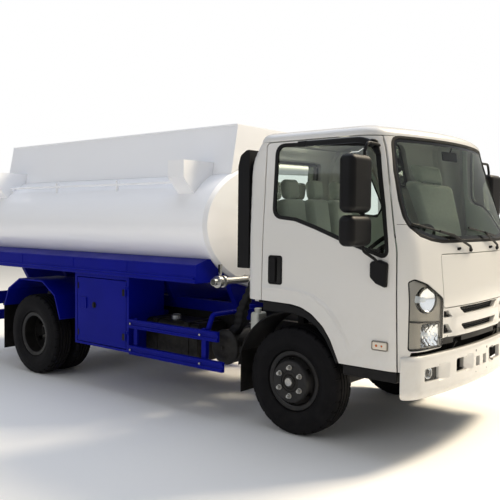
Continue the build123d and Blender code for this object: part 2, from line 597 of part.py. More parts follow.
with BuildPart() as top_box:
    add(coaming_shape(0, COAMING_TOP_Z, COAMING_FOOT_Z))
    add(coaming_shape(COAMING_WALL, COAMING_TOP_Z + 2 * WELD, WALK_Z), mode=Mode.SUBTRACT)
    add(tank_form(SEAT_GAP, COAMING_X[1] + FAR / 4, COAMING_X[0] - FAR / 4), mode=Mode.SUBTRACT)
    for place in MANHOLE_XS:
        rod((place, 0, COAMING_FOOT_Z), (place, 0, COAMING_TOP_Z), MANHOLE_R + SEAT_GAP, mode=Mode.SUBTRACT)
finish(top_box, "top_box")

HINGE_R = 12
for number, place in enumerate(MANHOLE_XS, start=1):
    with BuildPart() as lid:
        low = MANHOLE_TOP_Z + SEAT_GAP
        rod((place, 0, low), (place, 0, low + LID_T), MANHOLE_R + LID_REACH)
        rod((place, 0, low + LID_T - WELD), (place, 0, low + LID_T + 26), MANHOLE_R * 0.6)
        rod((place - MANHOLE_R - LID_REACH - 20, -70, low + HINGE_R),
            (place - MANHOLE_R - LID_REACH - 20, 70, low + HINGE_R),
            HINGE_R)
        slab((place - MANHOLE_R - LID_REACH - 20, place - MANHOLE_R), (-60, 60), (low + 2, low + LID_T))
    finish(lid, f"manhole_lid_{number}")

SHOULDER_BOX_Y = 1037
SHOULDER_BOX_W = 196
SHOULDER_BOX_XS = (FRONT_AXLE_X - 1205, FRONT_AXLE_X - 4235)
SHOULDER_RAIL_Y = 860
SHOULDER_RAIL_Z = 2020
SHOULDER_RAIL_R = 11
RAIL_POSTS = 2
with BuildPart() as shoulder_rails:
    for place in SHOULDER_BOX_XS:
        box_outline = ((-SHOULDER_BOX_Y, 2047), (-SHOULDER_BOX_Y, 2199), (-COAMING_TOP_Y, 2199),
                       (-COAMING_TOP_Y, 1700),
                       (-880, 1880))
        add(prism(box_outline, "x", place - SHOULDER_BOX_W / 2, place + SHOULDER_BOX_W / 2))
    rod((SHOULDER_BOX_XS[0] - SHOULDER_BOX_W / 2 + WELD, -SHOULDER_RAIL_Y, SHOULDER_RAIL_Z),
        (SHOULDER_BOX_XS[1] + SHOULDER_BOX_W / 2 - WELD, -SHOULDER_RAIL_Y,
         SHOULDER_RAIL_Z), SHOULDER_RAIL_R)
    rail_foot_z = TANK_Z + TANK_HALF_H * sqrt(1 - (SHOULDER_RAIL_Y / TANK_HALF_W)**2)
    for post in range(1, RAIL_POSTS + 1):
        post_x = SHOULDER_BOX_XS[0] + (SHOULDER_BOX_XS[1] - SHOULDER_BOX_XS[0]) * post / (RAIL_POSTS + 1)
        rod((post_x, -SHOULDER_RAIL_Y, rail_foot_z - 12), (post_x, -SHOULDER_RAIL_Y, SHOULDER_RAIL_Z + 36),
            15)
    add(tank_form(SEAT_GAP, FAR, -FAR), mode=Mode.SUBTRACT)
    add(coaming_shape(-SEAT_GAP, COAMING_TOP_Z + FAR / 40, COAMING_FOOT_Z - FAR / 4), mode=Mode.SUBTRACT)
    mirror(about=Plane.XZ)
finish(shoulder_rails, "shoulder_rails")

SKIRT_Y = 1075
SKIRT_FOOT_Z = 1137
SKIRT_EDGE_Z = 1296
SKIRT_TOP = (929, 1340)
SKIRT_INNER_Y = 640
SKIRT_X = (TANK_REAR_X - 40, FRONT_AXLE_X - 915)
RUB_RAIL_R = 12
RUB_RAIL_Z = 1179
with BuildPart() as side_skirts:
    skirt_outline = ((-SKIRT_Y, SKIRT_FOOT_Z), (-SKIRT_Y, SKIRT_EDGE_Z), (-SKIRT_TOP[0], SKIRT_TOP[1]),
                     (-SKIRT_INNER_Y, SKIRT_TOP[1]), (-SKIRT_INNER_Y, SKIRT_FOOT_Z))
    add(prism(skirt_outline, "x", *SKIRT_X))
    add(tank_form(SEAT_GAP, FAR, -FAR), mode=Mode.SUBTRACT)
    rod((SKIRT_X[0] + 20, -SKIRT_Y, RUB_RAIL_Z), (SKIRT_X[1] - 20, -SKIRT_Y, RUB_RAIL_Z), RUB_RAIL_R)
    mirror(about=Plane.XZ)
finish(side_skirts, "side_skirts")

BEARER_TOP_Z = 905
BEARER_Y = (RAIL_Y - RAIL_FLANGE, RAIL_Y)
SADDLE_T = 60
SADDLE_HALF_W = 545
SADDLE_COUNT = 5
SADDLE_TOP_Z = 1118
with BuildPart() as tank_cradle:
    for sign in (-1, 1):
        slab((FRAME_REAR_X + 60, TANK_FRONT_X + 60), tuple(sign * y for y in BEARER_Y),
             (FRAME_TOP_Z, BEARER_TOP_Z))
    for number in range(SADDLE_COUNT):
        place = TANK_FRONT_X - 120 - number * (TANK_FRONT_X - TANK_REAR_X - 240) / (SADDLE_COUNT - 1)
        saddle_outline = ((-RAIL_Y, BEARER_TOP_Z - 60), (RAIL_Y, BEARER_TOP_Z - 60),
                          (SADDLE_HALF_W, SADDLE_TOP_Z - 60),
                          (SADDLE_HALF_W, SADDLE_TOP_Z), (-SADDLE_HALF_W, SADDLE_TOP_Z), (-SADDLE_HALF_W,
                                                                                          SADDLE_TOP_Z - 60))
        add(prism(saddle_outline, "x", place - SADDLE_T / 2, place + SADDLE_T / 2))
    add(tank_form(SEAT_GAP, FAR, -FAR), mode=Mode.SUBTRACT)
finish(tank_cradle, "tank_cradle")

CABINET_X = (FRONT_AXLE_X - 2640, FRONT_AXLE_X - 1810)
CABINET_Y = (SKIRT_Y - 25, 605)
CABINET_Z = (426, SKIRT_FOOT_Z - SEAT_GAP)
CABINET_WALL = 12
CABINET_DOOR_Z = (CABINET_Z[0] + 30, 1095)
CABINET_DOOR_X = (CABINET_X[0] + 42, CABINET_X[1] - 42)
CABINET_DOOR_T = 18
CABINET_HINGE_R = 8
CABINET_HINGE_Y = CABINET_Y[0] + CABINET_HINGE_R - 2
CABINET_HINGE_H = 70
KNUCKLE_R = CABINET_HINGE_R - 2 - PIN_GAP
KNUCKLE_H = 25
KNUCKLE_PLATE = 34
CABINET_HINGE_ZS = (CABINET_DOOR_Z[0] + 110, CABINET_DOOR_Z[1] - 110)
with BuildPart() as cabinets:
    for sign in (-1, 1):
        slab(CABINET_X, (sign * CABINET_Y[0], sign * CABINET_Y[1]), CABINET_Z)
        slab((CABINET_X[0] + CABINET_WALL, CABINET_X[1] - CABINET_WALL),
             (sign * (CABINET_Y[0] - CABINET_WALL - CABINET_DOOR_T), sign * (CABINET_Y[1] + CABINET_WALL)),
             (CABINET_Z[0] + CABINET_WALL, CABINET_Z[1] - CABINET_WALL), mode=Mode.SUBTRACT)
        slab((CABINET_DOOR_X[0] - PANEL_GAP, CABINET_DOOR_X[1] + PANEL_GAP),
             (sign * (CABINET_Y[0] + WELD), sign * (CABINET_Y[0] - 80)),
             (CABINET_DOOR_Z[0] - PANEL_GAP, CABINET_DOOR_Z[1] + PANEL_GAP), mode=Mode.SUBTRACT)
        for place in (CABINET_X[0] + 150, CABINET_X[1] - 150):
            slab((place - 30, place + 30), (sign * (CABINET_Y[1] + WELD), sign * (RAIL_Y + SEAT_GAP)),
                 (FRAME_BOTTOM_Z + 20, FRAME_TOP_Z - 40))
        for hinge_z in CABINET_HINGE_ZS:
            low = hinge_z + CABINET_HINGE_H / 2 + PIN_GAP
            rod((CABINET_DOOR_X[1], sign * CABINET_HINGE_Y, low),
                (CABINET_DOOR_X[1], sign * CABINET_HINGE_Y, low + KNUCKLE_H), KNUCKLE_R)
            slab((CABINET_DOOR_X[1], CABINET_DOOR_X[1] + KNUCKLE_PLATE),
                 (sign * (CABINET_Y[0] + PIN_GAP), sign * CABINET_HINGE_Y), (low, low + KNUCKLE_H))
            slab((CABINET_DOOR_X[1] + PANEL_GAP + PIN_GAP, CABINET_DOOR_X[1] + KNUCKLE_PLATE),
                 (sign * (CABINET_Y[0] - WELD), sign * CABINET_HINGE_Y), (low, low + KNUCKLE_H))
finish(cabinets, "cabinets")

for side, sign in SIDES:
    with BuildPart() as cabinet_door:
        door_y = (sign * CABINET_Y[0], sign * (CABINET_Y[0] - CABINET_DOOR_T))
        slab(CABINET_DOOR_X, door_y, CABINET_DOOR_Z)
        for hinge_z in CABINET_HINGE_ZS:
            rod((CABINET_DOOR_X[1], sign * CABINET_HINGE_Y, hinge_z - CABINET_HINGE_H / 2),
                (CABINET_DOOR_X[1], sign * CABINET_HINGE_Y, hinge_z + CABINET_HINGE_H / 2), CABINET_HINGE_R)
        slab((CABINET_DOOR_X[0] + 60, CABINET_DOOR_X[0] + 150),
             (sign * (CABINET_Y[0] - WELD), sign * (CABINET_Y[0] + 10)),
             (790, 900))
    finish(cabinet_door, f"cabinet_door_{side}")

GUARD_Y = 1050
GUARD_T = 30
# low and high edge, front end
GUARD_BARS = ((662, 746, FRONT_AXLE_X - 689), (415, 500, FRONT_AXLE_X - 630))
with BuildPart() as side_guards:
    for low, high, front in GUARD_BARS:
        groove = (high - low) / 3
        bar_outline = ((-GUARD_Y, low), (-GUARD_Y, low + groove), (-GUARD_Y + 12, low + groove),
                       (-GUARD_Y + 12, high - groove), (-GUARD_Y, high - groove), (-GUARD_Y, high),
                       (-GUARD_Y + GUARD_T, high), (-GUARD_Y + GUARD_T, low))
        add(prism(bar_outline, "x", CABINET_X[1] + SEAT_GAP, front))
    for place in (CABINET_X[1] + 60, FRONT_AXLE_X - 870):
        slab((place - 25, place + 25), (-GUARD_Y + GUARD_T - WELD, -GUARD_Y + GUARD_T + 25),
             (GUARD_BARS[1][0] + 10, GUARD_BARS[0][1] + 10))
    add(tube(((FRONT_AXLE_X - 870, -GUARD_Y + 66, 430), (FRONT_AXLE_X - 870, -GUARD_Y + 66, 700),
              (FRONT_AXLE_X - 840, -GUARD_Y + 110, 870), (FRONT_AXLE_X - 840, -RAIL_Y - 40, 870)), 40, 22))
    slab((FRONT_AXLE_X - 880, FRONT_AXLE_X - 800), (-RAIL_Y - 60, -RAIL_Y - SEAT_GAP),
         (FRAME_TOP_Z - 20, 880))
    mirror(about=Plane.XZ)
finish(side_guards, "side_guards")

MUDGUARD_Y = (1085, 560)
MUDGUARD_T = 6
# distance from the rear axle, height
MUDGUARD_LINE = ((516, 640), (420, 880), (194, 1012), (-247, 1012), (-470, 890), (-560, 700))
with BuildPart() as rear_mudguards:
    for sign in (-1, 1):
        outer = tuple((REAR_AXLE_X + dx, z + MUDGUARD_T) for dx, z in MUDGUARD_LINE)
        inner = tuple((REAR_AXLE_X + dx * (1 - 2 * MUDGUARD_T / TYRE_R), z - MUDGUARD_T) for dx,
                      z in MUDGUARD_LINE)
        add(prism(outer + tuple(reversed(inner)), "y",
                  *sorted((sign * MUDGUARD_Y[0], sign * MUDGUARD_Y[1]))))
        for place in (REAR_AXLE_X + 150, REAR_AXLE_X - 120):
            slab((place - 20, place + 20), (sign * (MUDGUARD_Y[1] + WELD), sign * (RAIL_Y + SEAT_GAP)),
                 (985, 1015))
            slab((place - 20, place + 20), (sign * (RAIL_Y + 30), sign * (RAIL_Y + SEAT_GAP)), (840, 1015))
finish(rear_mudguards, "rear_mudguards")

FLAP_T = 8
# place, inner and outer distance from the middle, foot and top height
FLAPS = ((FRONT_AXLE_X - 505, 640, 950, 262, 640), (REAR_AXLE_X - 568, 570, 1075, 205, 740))
with BuildPart() as mudflaps:
    for place, inner_y, outer_y, foot, top in FLAPS:
        for sign in (-1, 1):
            slab((place - FLAP_T, place), (sign * inner_y, sign * outer_y), (foot, top))
            slab((place - FLAP_T - 20, place - FLAP_T + WELD),
                 (sign * outer_y, sign * (RAIL_Y + SEAT_GAP)), (top - 50, top - 10))
finish(mudflaps, "mudflaps")

# ---------------------------------------------------------------- bumper, lamps, ladder and pipes
BUMPER_Z = (447, 762)
BUMPER_OUT = 16
BUMPER_WALL = 30
BUMPER_BACK_X = FRONT_AXLE_X + 961
BUMPER_ROOT_X = BUMPER_BACK_X - 2 * CORNER_R
FOG_Y = (700, 870)
FOG_Z = (580, 665)
VENT_Y = (270, 460)
VENT_Z = (585, 680)
SLOT_Y = (45, 120)
SLOT_Z = (620, 690)
PLATE_HOLE_R = 4
PLATE_HOLE_SPACING = 210
PLATE_Z = 540


def bumper_form(grow):
    """Upright block with the nose's plan, larger by grow."""
    with BuildPart() as form:
        with BuildSketch(Plane.XY.offset(BUMPER_Z[0])):
            with BuildLine():
                width = CAB_HALF_W + BUMPER_OUT + grow
                corner = CORNER_R + grow
                nose_r = NOSE_R + grow
                half_angle = degrees(asin((width - corner) / (nose_r - corner)))
                tip = FRONT_AXLE_X + FRONT_OVERHANG + grow
                side_end = tip - nose_r + (nose_r - corner) * cos(radians(half_angle))
                right = Line((BUMPER_ROOT_X, -width), (side_end, -width))
                right_corner = JernArc(right @ 1, right % 1, corner, 90 - half_angle)
                front = JernArc(right_corner @ 1, right_corner % 1, nose_r, 2 * half_angle)
                left_corner = JernArc(front @ 1, front % 1, corner, 90 - half_angle)
                left = Line(left_corner @ 1, (BUMPER_ROOT_X, width))
                Line(left @ 1, right @ 0)
            make_face()
        extrude(amount=BUMPER_Z[1] - BUMPER_Z[0])
    return form.part


with BuildPart() as front_bumper:
    add(bumper_form(0))
    with Locations((0, 0, BUMPER_WALL)):
        add(bumper_form(-BUMPER_WALL), mode=Mode.SUBTRACT)
    slab((BUMPER_ROOT_X - WELD, BUMPER_BACK_X), (-FAR, FAR), (0, FAR), mode=Mode.SUBTRACT)
    for sign in (-1, 1):
        for span_y, span_z in ((FOG_Y, FOG_Z), (VENT_Y, VENT_Z), (SLOT_Y, SLOT_Z)):
            slab((BUMPER_BACK_X, BUMPER_BACK_X + FAR), (sign * span_y[0], sign * span_y[1]), span_z,
                 mode=Mode.SUBTRACT)
        slab((FRAME_FRONT_X - 80, FRONT_AXLE_X + FRONT_OVERHANG - BUMPER_WALL - 8),
             (sign * (RAIL_Y + SEAT_GAP), sign * (RAIL_Y + 55)), (VENT_Z[1] + 15, VENT_Z[1] + 55))
    plate_plane = Plane(origin=(FRONT_AXLE_X + FRONT_OVERHANG, 0, PLATE_Z), x_dir=(0, 1, 0),
                        z_dir=(1, 0, 0))
    with Locations(plate_plane):
        with GridLocations(PLATE_HOLE_SPACING, PLATE_HOLE_SPACING, 2, 1):
            Cylinder(PLATE_HOLE_R, FAR / 20, mode=Mode.SUBTRACT)
finish(front_bumper, "front_bumper")

TAIL_X = FRAME_REAR_X - 8
TAIL_LAMP_Y = (640, 960)
TAIL_LAMP_Z = (625, 735)
with BuildPart() as fog_lamps:
    for sign in (-1, 1):
        slab((FRONT_AXLE_X + FRONT_OVERHANG - 170, FRONT_AXLE_X + FRONT_OVERHANG),
             (sign * FOG_Y[0], sign * FOG_Y[1]), FOG_Z)
    add(bumper_form(-4), mode=Mode.INTERSECT)
finish(fog_lamps, "fog_lamps")

with BuildPart() as tail_lamps:
    for sign in (-1, 1):
        slab((TAIL_X - 56, TAIL_X - SEAT_GAP), (sign * TAIL_LAMP_Y[0], sign * TAIL_LAMP_Y[1]), TAIL_LAMP_Z)
        fillet(tail_lamps.edges().group_by(Axis.X)[0].filter_by(Axis.Z), 12)
finish(tail_lamps, "tail_lamps")

GUARD_REAR_Z = (400, 520)
with BuildPart() as rear_bumper:
    slab((REAR_END_X, REAR_END_X + 80), (-1000, 1000), GUARD_REAR_Z)
    fillet(rear_bumper.edges().filter_by(Axis.Y), 14)
    slab((TAIL_X, TAIL_X + 8 - SEAT_GAP), (-1000, 1000), (600, 760))
    for sign in (-1, 1):
        slab((REAR_END_X + 60, TAIL_X + WELD), (sign * 380, sign * 440),
             (GUARD_REAR_Z[0] + 10, GUARD_REAR_Z[1] - 10))
        slab((TAIL_X - 20, TAIL_X + WELD), (sign * 380, sign * 440), (GUARD_REAR_Z[0] + 10, 620))
finish(rear_bumper, "rear_bumper")

LADDER_X = TANK_REAR_X - HEAD_DEPTH - 60
LADDER_Y = (330, 700)
LADDER_STILE_R = 17
RUNGS = 6
RUNG_R = 13
LADDER_Z = (780, 2600)
with BuildPart() as ladder:
    for stile_y in LADDER_Y:
        add(tube(((LADDER_X, stile_y, LADDER_Z[0]), (LADDER_X, stile_y, LADDER_Z[1]),
                  (LADDER_X + 260, stile_y, LADDER_Z[1]), (LADDER_X + 260, stile_y, WALK_Z)), 60,
                 LADDER_STILE_R))
        rod((LADDER_X, stile_y, 860), (FRAME_REAR_X + 60 - SEAT_GAP, stile_y, 860), RUNG_R)
        slab((LADDER_X, COAMING_X[0] - SEAT_GAP), (stile_y - 15, stile_y + 15), (2300, 2330))
    for rung in range(RUNGS):
        rung_z = LADDER_Z[0] + 160 + rung * 280
        rod((LADDER_X, LADDER_Y[0], rung_z), (LADDER_X, LADDER_Y[1], rung_z), RUNG_R)
finish(ladder, "ladder")

OUTLET_R = 30
OUTLET_BORE_R = 25
FRONT_OUTLET_X = FRONT_AXLE_X - 822
FRONT_OUTLET_Z = 1150
REAR_OUTLET_Z = 900
REAR_OUTLET_X = TANK_REAR_X - HEAD_DEPTH - 170
REAR_OUTLET_LENGTH = 110
REAR_OUTLET_R = 50
REAR_OUTLET_BORE_R = 40
with BuildPart() as outlets:
    add(tube(((FRONT_OUTLET_X, -960, FRONT_OUTLET_Z), (FRONT_OUTLET_X, -500, FRONT_OUTLET_Z),
              (FRONT_OUTLET_X - 72, -500, FRONT_OUTLET_Z + 20)), 34, OUTLET_R))
    for flange_y in (-905, -835):
        rod((FRONT_OUTLET_X, flange_y - 9, FRONT_OUTLET_Z), (FRONT_OUTLET_X, flange_y + 9, FRONT_OUTLET_Z),
            52)
    with Locations((FRONT_OUTLET_X, -870, FRONT_OUTLET_Z)):
        Sphere(44)
    rod((FRONT_OUTLET_X, -870, FRONT_OUTLET_Z), (FRONT_OUTLET_X, -870, FRONT_OUTLET_Z + 70), 12)
    slab((FRONT_OUTLET_X - 10, FRONT_OUTLET_X + 10), (-884, -856),
         (FRONT_OUTLET_Z + 66, FRONT_OUTLET_Z + 150))
    rod((FRONT_OUTLET_X, -962, FRONT_OUTLET_Z), (FRONT_OUTLET_X, -900, FRONT_OUTLET_Z), OUTLET_BORE_R,
        mode=Mode.SUBTRACT)
    rod((REAR_OUTLET_X, 0, REAR_OUTLET_Z), (REAR_OUTLET_X + 260, 0, REAR_OUTLET_Z), REAR_OUTLET_R)
    rod((REAR_OUTLET_X + 209, 0, REAR_OUTLET_Z), (REAR_OUTLET_X + 209, 0, TANK_Z - TANK_HALF_H + 60),
        REAR_OUTLET_R)
    add(tank_shell.part, mode=Mode.SUBTRACT)
    for flange_x in (REAR_OUTLET_X + 10, REAR_OUTLET_X + 130):
        rod((flange_x - 10, 0, REAR_OUTLET_Z), (flange_x + 10, 0, REAR_OUTLET_Z), 75)
    rod((REAR_OUTLET_X - WELD, 0, REAR_OUTLET_Z), (REAR_OUTLET_X + REAR_OUTLET_LENGTH, 0, REAR_OUTLET_Z),
        REAR_OUTLET_BORE_R, mode=Mode.SUBTRACT)
finish(outlets, "outlets")

# ---------------------------------------------------------------- cab
BACK_GAP_X = FRONT_AXLE_X - 255
BACK_GAP_TOP_X = FRONT_AXLE_X - 232
FRONT_GAP = ((FRONT_AXLE_X + 936, CAB_BOTTOM_Z), (FRONT_AXLE_X + 913, 1489), (FRONT_AXLE_X + 838, 1900),
             (FRONT_AXLE_X + 795, 2106), (FRONT_AXLE_X + 743, ROOF_SEAM_Z))
ARCH_LINE = ((FRONT_AXLE_X + 474, CAB_BOTTOM_Z), (FRONT_AXLE_X + 397, 810), (FRONT_AXLE_X + 330, 902),
             (FRONT_AXLE_X + 230, 983), (FRONT_AXLE_X + 130, 1028), (FRONT_AXLE_X + 29, 1043))
BACK_FOOT_Z = 1050
DOOR_WINDOW = ((FRONT_AXLE_X - 136, 1723), (FRONT_AXLE_X + 443, 1562), (FRONT_AXLE_X + 838, 1440),
               (FRONT_AXLE_X + 798, 1780), (FRONT_AXLE_X + 696, 2262), (FRONT_AXLE_X - 125, 2262))
WINDOW_CORNER = 34
# half width and height, from the head of the windscreen down to its foot
SCREEN_EDGE = ((812, 2284), (901, 2040), (924, 1831), (924, 1690), (896, 1636), (820, 1592), (699, 1562),
               (560, SCREEN_FOOT_Z))
SCREEN_OUTLINE = tuple((-y, z) for y, z in SCREEN_EDGE) + tuple(reversed(SCREEN_EDGE))
REAR_WINDOW = ((-560, 1760), (560, 1760), (560, 2150), (-560, 2150))
GLASS_T = 6
GLASS_DEPTH = 14
LID_HALF_W = 616
FRONT_LID_Z = (1070, 1448)
LAMP_OUTLINE = ((-955, 797), (-952, 1270), (-915, 1286), (-800, 1246), (-640, 1158), (-640, 797))
LAMP_BACK_X = FRONT_AXLE_X + 945
GRILLE_OPENINGS = (
    ((-385, 1060), (385, 1060), (295, 1006), (-295, 1006)),
    ((-350, 932), (350, 932), (285, 882), (-285, 882)),
    ((-596, 1036), (-596, 992), (-505, 992), (-550, 1036)),
    ((596, 1036), (596, 992), (505, 992), (550, 1036)),
    ((-596, 935), (-596, 868), (-500, 868), (-545, 935)),
    ((596, 935), (596, 868), (500, 868), (545, 935)),
)
DOOR_HINGE = (FRONT_AXLE_X + 929, CAB_HALF_W - 17)
DOOR_HINGE_ZS = (850, 1180)
DOOR_PIN_R = 5
DOOR_EYE_R = 10
HINGE_PLATE_T = 10
DOOR_EYE_H = 16
LID_HINGE_Z = FRONT_LID_Z[1] + RUN_GAP / 2
LID_HINGE_R = RUN_GAP / 2 + 0.5
LID_HINGE_HALF_W = 80
FLOOR_T = 20
FOOTWELL_X = (FRONT_AXLE_X + 500, FRONT_AXLE_X + 930)
FOOTWELL_Z = 840
STEP_Z = 655
STEP_Y = (700, 920)
FRONT_WALL_HALF_W = 895
TUNNEL_HALF_W = 330
TUNNEL_TOP_Z = 1170
FLOOR_HALF_W = CAB_HALF_W - CAB_WALL - RUN_GAP
DASH_HALF_W = 930
DASH_Z = (1120, 1480)
DASH_X = (FRONT_AXLE_X + 690, FRONT_AXLE_X + 1000)


def hinge_rod(sign, z, half_height, radius, mode):
    """Upright round bar on a cab door's hinge line."""
    hinge_y = sign * DOOR_HINGE[1]
    rod((DOOR_HINGE[0], hinge_y, z - half_height), (DOOR_HINGE[0], hinge_y, z + half_height), radius, mode)


def lid_rod(half_length, radius, mode):
    """Round bar across the middle of the service lid's hinge line."""
    hinge_x = nose_x(0, LID_HINGE_Z)
    rod((hinge_x, -half_length, LID_HINGE_Z), (hinge_x, half_length, LID_HINGE_Z), radius, mode)


outer_form = cab_form(0)
inner_form = cab_form(CAB_WALL)
with BuildPart() as cab_skin:
    add(outer_form)
    add(inner_form, mode=Mode.SUBTRACT)

with BuildPart() as cab_back:
    add(cab_skin.part)
    with_back = ((CAB_BACK_X - WELD, BACK_FOOT_Z), (BACK_GAP_X - PANEL_GAP / 2, BACK_FOOT_Z),
                 (BACK_GAP_TOP_X - PANEL_GAP / 2, ROOF_SEAM_Z), (CAB_BACK_X - WELD, ROOF_SEAM_Z))
    add(prism(with_back, "y", -FAR, FAR), mode=Mode.INTERSECT)
    add(prism(REAR_WINDOW, "x", CAB_BACK_X - FAR / 40, CAB_BACK_X + FAR / 40, corner=60),
        mode=Mode.SUBTRACT)
    slab((CAB_BACK_X + WELD, CAB_BACK_X + CAB_WALL),
         (-FLOOR_HALF_W + BACK_CORNER_R, FLOOR_HALF_W - BACK_CORNER_R),
         (FLOOR_Z[0], BACK_FOOT_Z + WELD))
finish(cab_back, "cab_back")

with BuildPart() as cab_roof:
    add(cab_skin.part)
    slab((-FAR, FAR), (-FAR, FAR), (ROOF_SEAM_Z, FAR), mode=Mode.INTERSECT)
finish(cab_roof, "cab_roof")

with BuildPart() as cab_front:
    add(cab_skin.part)
    front_side = tuple((x + PANEL_GAP / 2, z) for x, z in FRONT_GAP)
    front_region = front_side + ((FRONT_AXLE_X + FAR / 2, ROOF_SEAM_Z),
                                 (FRONT_AXLE_X + FAR / 2, CAB_BOTTOM_Z))
    add(prism(front_region, "y", -FAR, FAR), mode=Mode.INTERSECT)
    nose_cut = ((-FAR, 0), (FAR, 0), (FAR, LAMP_OUTLINE[0][1]), (-LAMP_OUTLINE[-1][0], LAMP_OUTLINE[0][1]),
                (-LAMP_OUTLINE[-1][0], NOSE_BOTTOM_Z), (LAMP_OUTLINE[-1][0], NOSE_BOTTOM_Z),
                (LAMP_OUTLINE[-1][0], LAMP_OUTLINE[0][1]), (-FAR, LAMP_OUTLINE[0][1]))
    add(prism(nose_cut, "x", -FAR, FAR), mode=Mode.SUBTRACT)
    add(prism(SCREEN_OUTLINE, "x", CAB_PIVOT_X - 400, FAR), mode=Mode.SUBTRACT)
    slab((FRONT_AXLE_X + 900, FAR), (-LID_HALF_W - RUN_GAP, LID_HALF_W + RUN_GAP),
         (FRONT_LID_Z[0] - RUN_GAP, FRONT_LID_Z[1] + RUN_GAP), mode=Mode.SUBTRACT)
    for outline in GRILLE_OPENINGS:
        add(prism(outline, "x", FRONT_AXLE_X + 900, FAR), mode=Mode.SUBTRACT)
    for sign in (-1, 1):
        lamp = tuple((sign * -y, z) for y, z in LAMP_OUTLINE)
        add(prism(lamp, "x", LAMP_BACK_X, FAR), mode=Mode.SUBTRACT)
        for hinge_z in DOOR_HINGE_ZS:
            hinge_rod(sign, hinge_z, DOOR_EYE_H / 2 + RUN_GAP, DOOR_EYE_R + RUN_GAP, Mode.SUBTRACT)
            hinge_rod(sign, hinge_z, DOOR_EYE_H / 2 + RUN_GAP + WELD, DOOR_PIN_R, Mode.ADD)
            for up in (-1, 1):
                plate_z = hinge_z + up * (DOOR_EYE_H / 2 + RUN_GAP + HINGE_PLATE_T / 2)
                hinge_rod(sign, plate_z, HINGE_PLATE_T / 2, DOOR_EYE_R, Mode.ADD)
                slab((DOOR_HINGE[0], DOOR_HINGE[0] + 2 * DOOR_EYE_R),
                     (sign * (DOOR_HINGE[1] - DOOR_EYE_R), sign * DOOR_HINGE[1]),
                     (plate_z - HINGE_PLATE_T / 2, plate_z + HINGE_PLATE_T / 2))
    lid_rod(LID_HINGE_HALF_W + WELD, LID_HINGE_R + PIN_GAP, Mode.SUBTRACT)
finish(cab_front, "cab_front")

with BuildPart() as front_lid:
    add(cab_skin.part)
    slab((FRONT_AXLE_X + 900, FAR), (-LID_HALF_W, LID_HALF_W), FRONT_LID_Z, mode=Mode.INTERSECT)
    lid_rod(LID_HINGE_HALF_W, LID_HINGE_R, Mode.ADD)
finish(front_lid, "front_lid")

LAMP_DEPTH = 76
LAMP_RECESS = 2
with BuildPart() as headlamps:
    add(cab_form(LAMP_RECESS))
    add(cab_form(LAMP_DEPTH), mode=Mode.SUBTRACT)
    with BuildPart(mode=Mode.PRIVATE) as lamp_region:
        for sign in (-1, 1):
            lamp = tuple((sign * -y, z) for y, z in LAMP_OUTLINE)
            add(prism(lamp, "x", LAMP_BACK_X + SEAT_GAP, FAR, grow=-SEAT_GAP))
    add(lamp_region.part, mode=Mode.INTERSECT)
finish(headlamps, "headlamps")

GRILLE_RECESS = 24
with BuildPart() as grille:
    add(cab_form(GRILLE_RECESS))
    add(cab_form(CAB_WALL - 2), mode=Mode.SUBTRACT)
    with BuildPart(mode=Mode.PRIVATE) as grille_region:
        for outline in GRILLE_OPENINGS:
            add(prism(outline, "x", FRONT_AXLE_X + 900, FAR, grow=-SEAT_GAP))
    add(grille_region.part, mode=Mode.INTERSECT)
finish(grille, "grille")

glass_outer = cab_form(GLASS_DEPTH)
with BuildPart() as glass_skin:
    add(glass_outer)
    add(cab_form(GLASS_DEPTH + GLASS_T), mode=Mode.SUBTRACT)

with BuildPart() as cab_glass:
    add(glass_skin.part)
    with BuildPart(mode=Mode.PRIVATE) as glass_region:
        add(prism(SCREEN_OUTLINE, "x", CAB_PIVOT_X - 400, FAR, grow=-SEAT_GAP))
        add(prism(REAR_WINDOW, "x", CAB_BACK_X - FAR / 40, CAB_BACK_X + FAR / 40, corner=60,
                  grow=-SEAT_GAP))
    add(glass_region.part, mode=Mode.INTERSECT)
finish(cab_glass, "cab_glass")

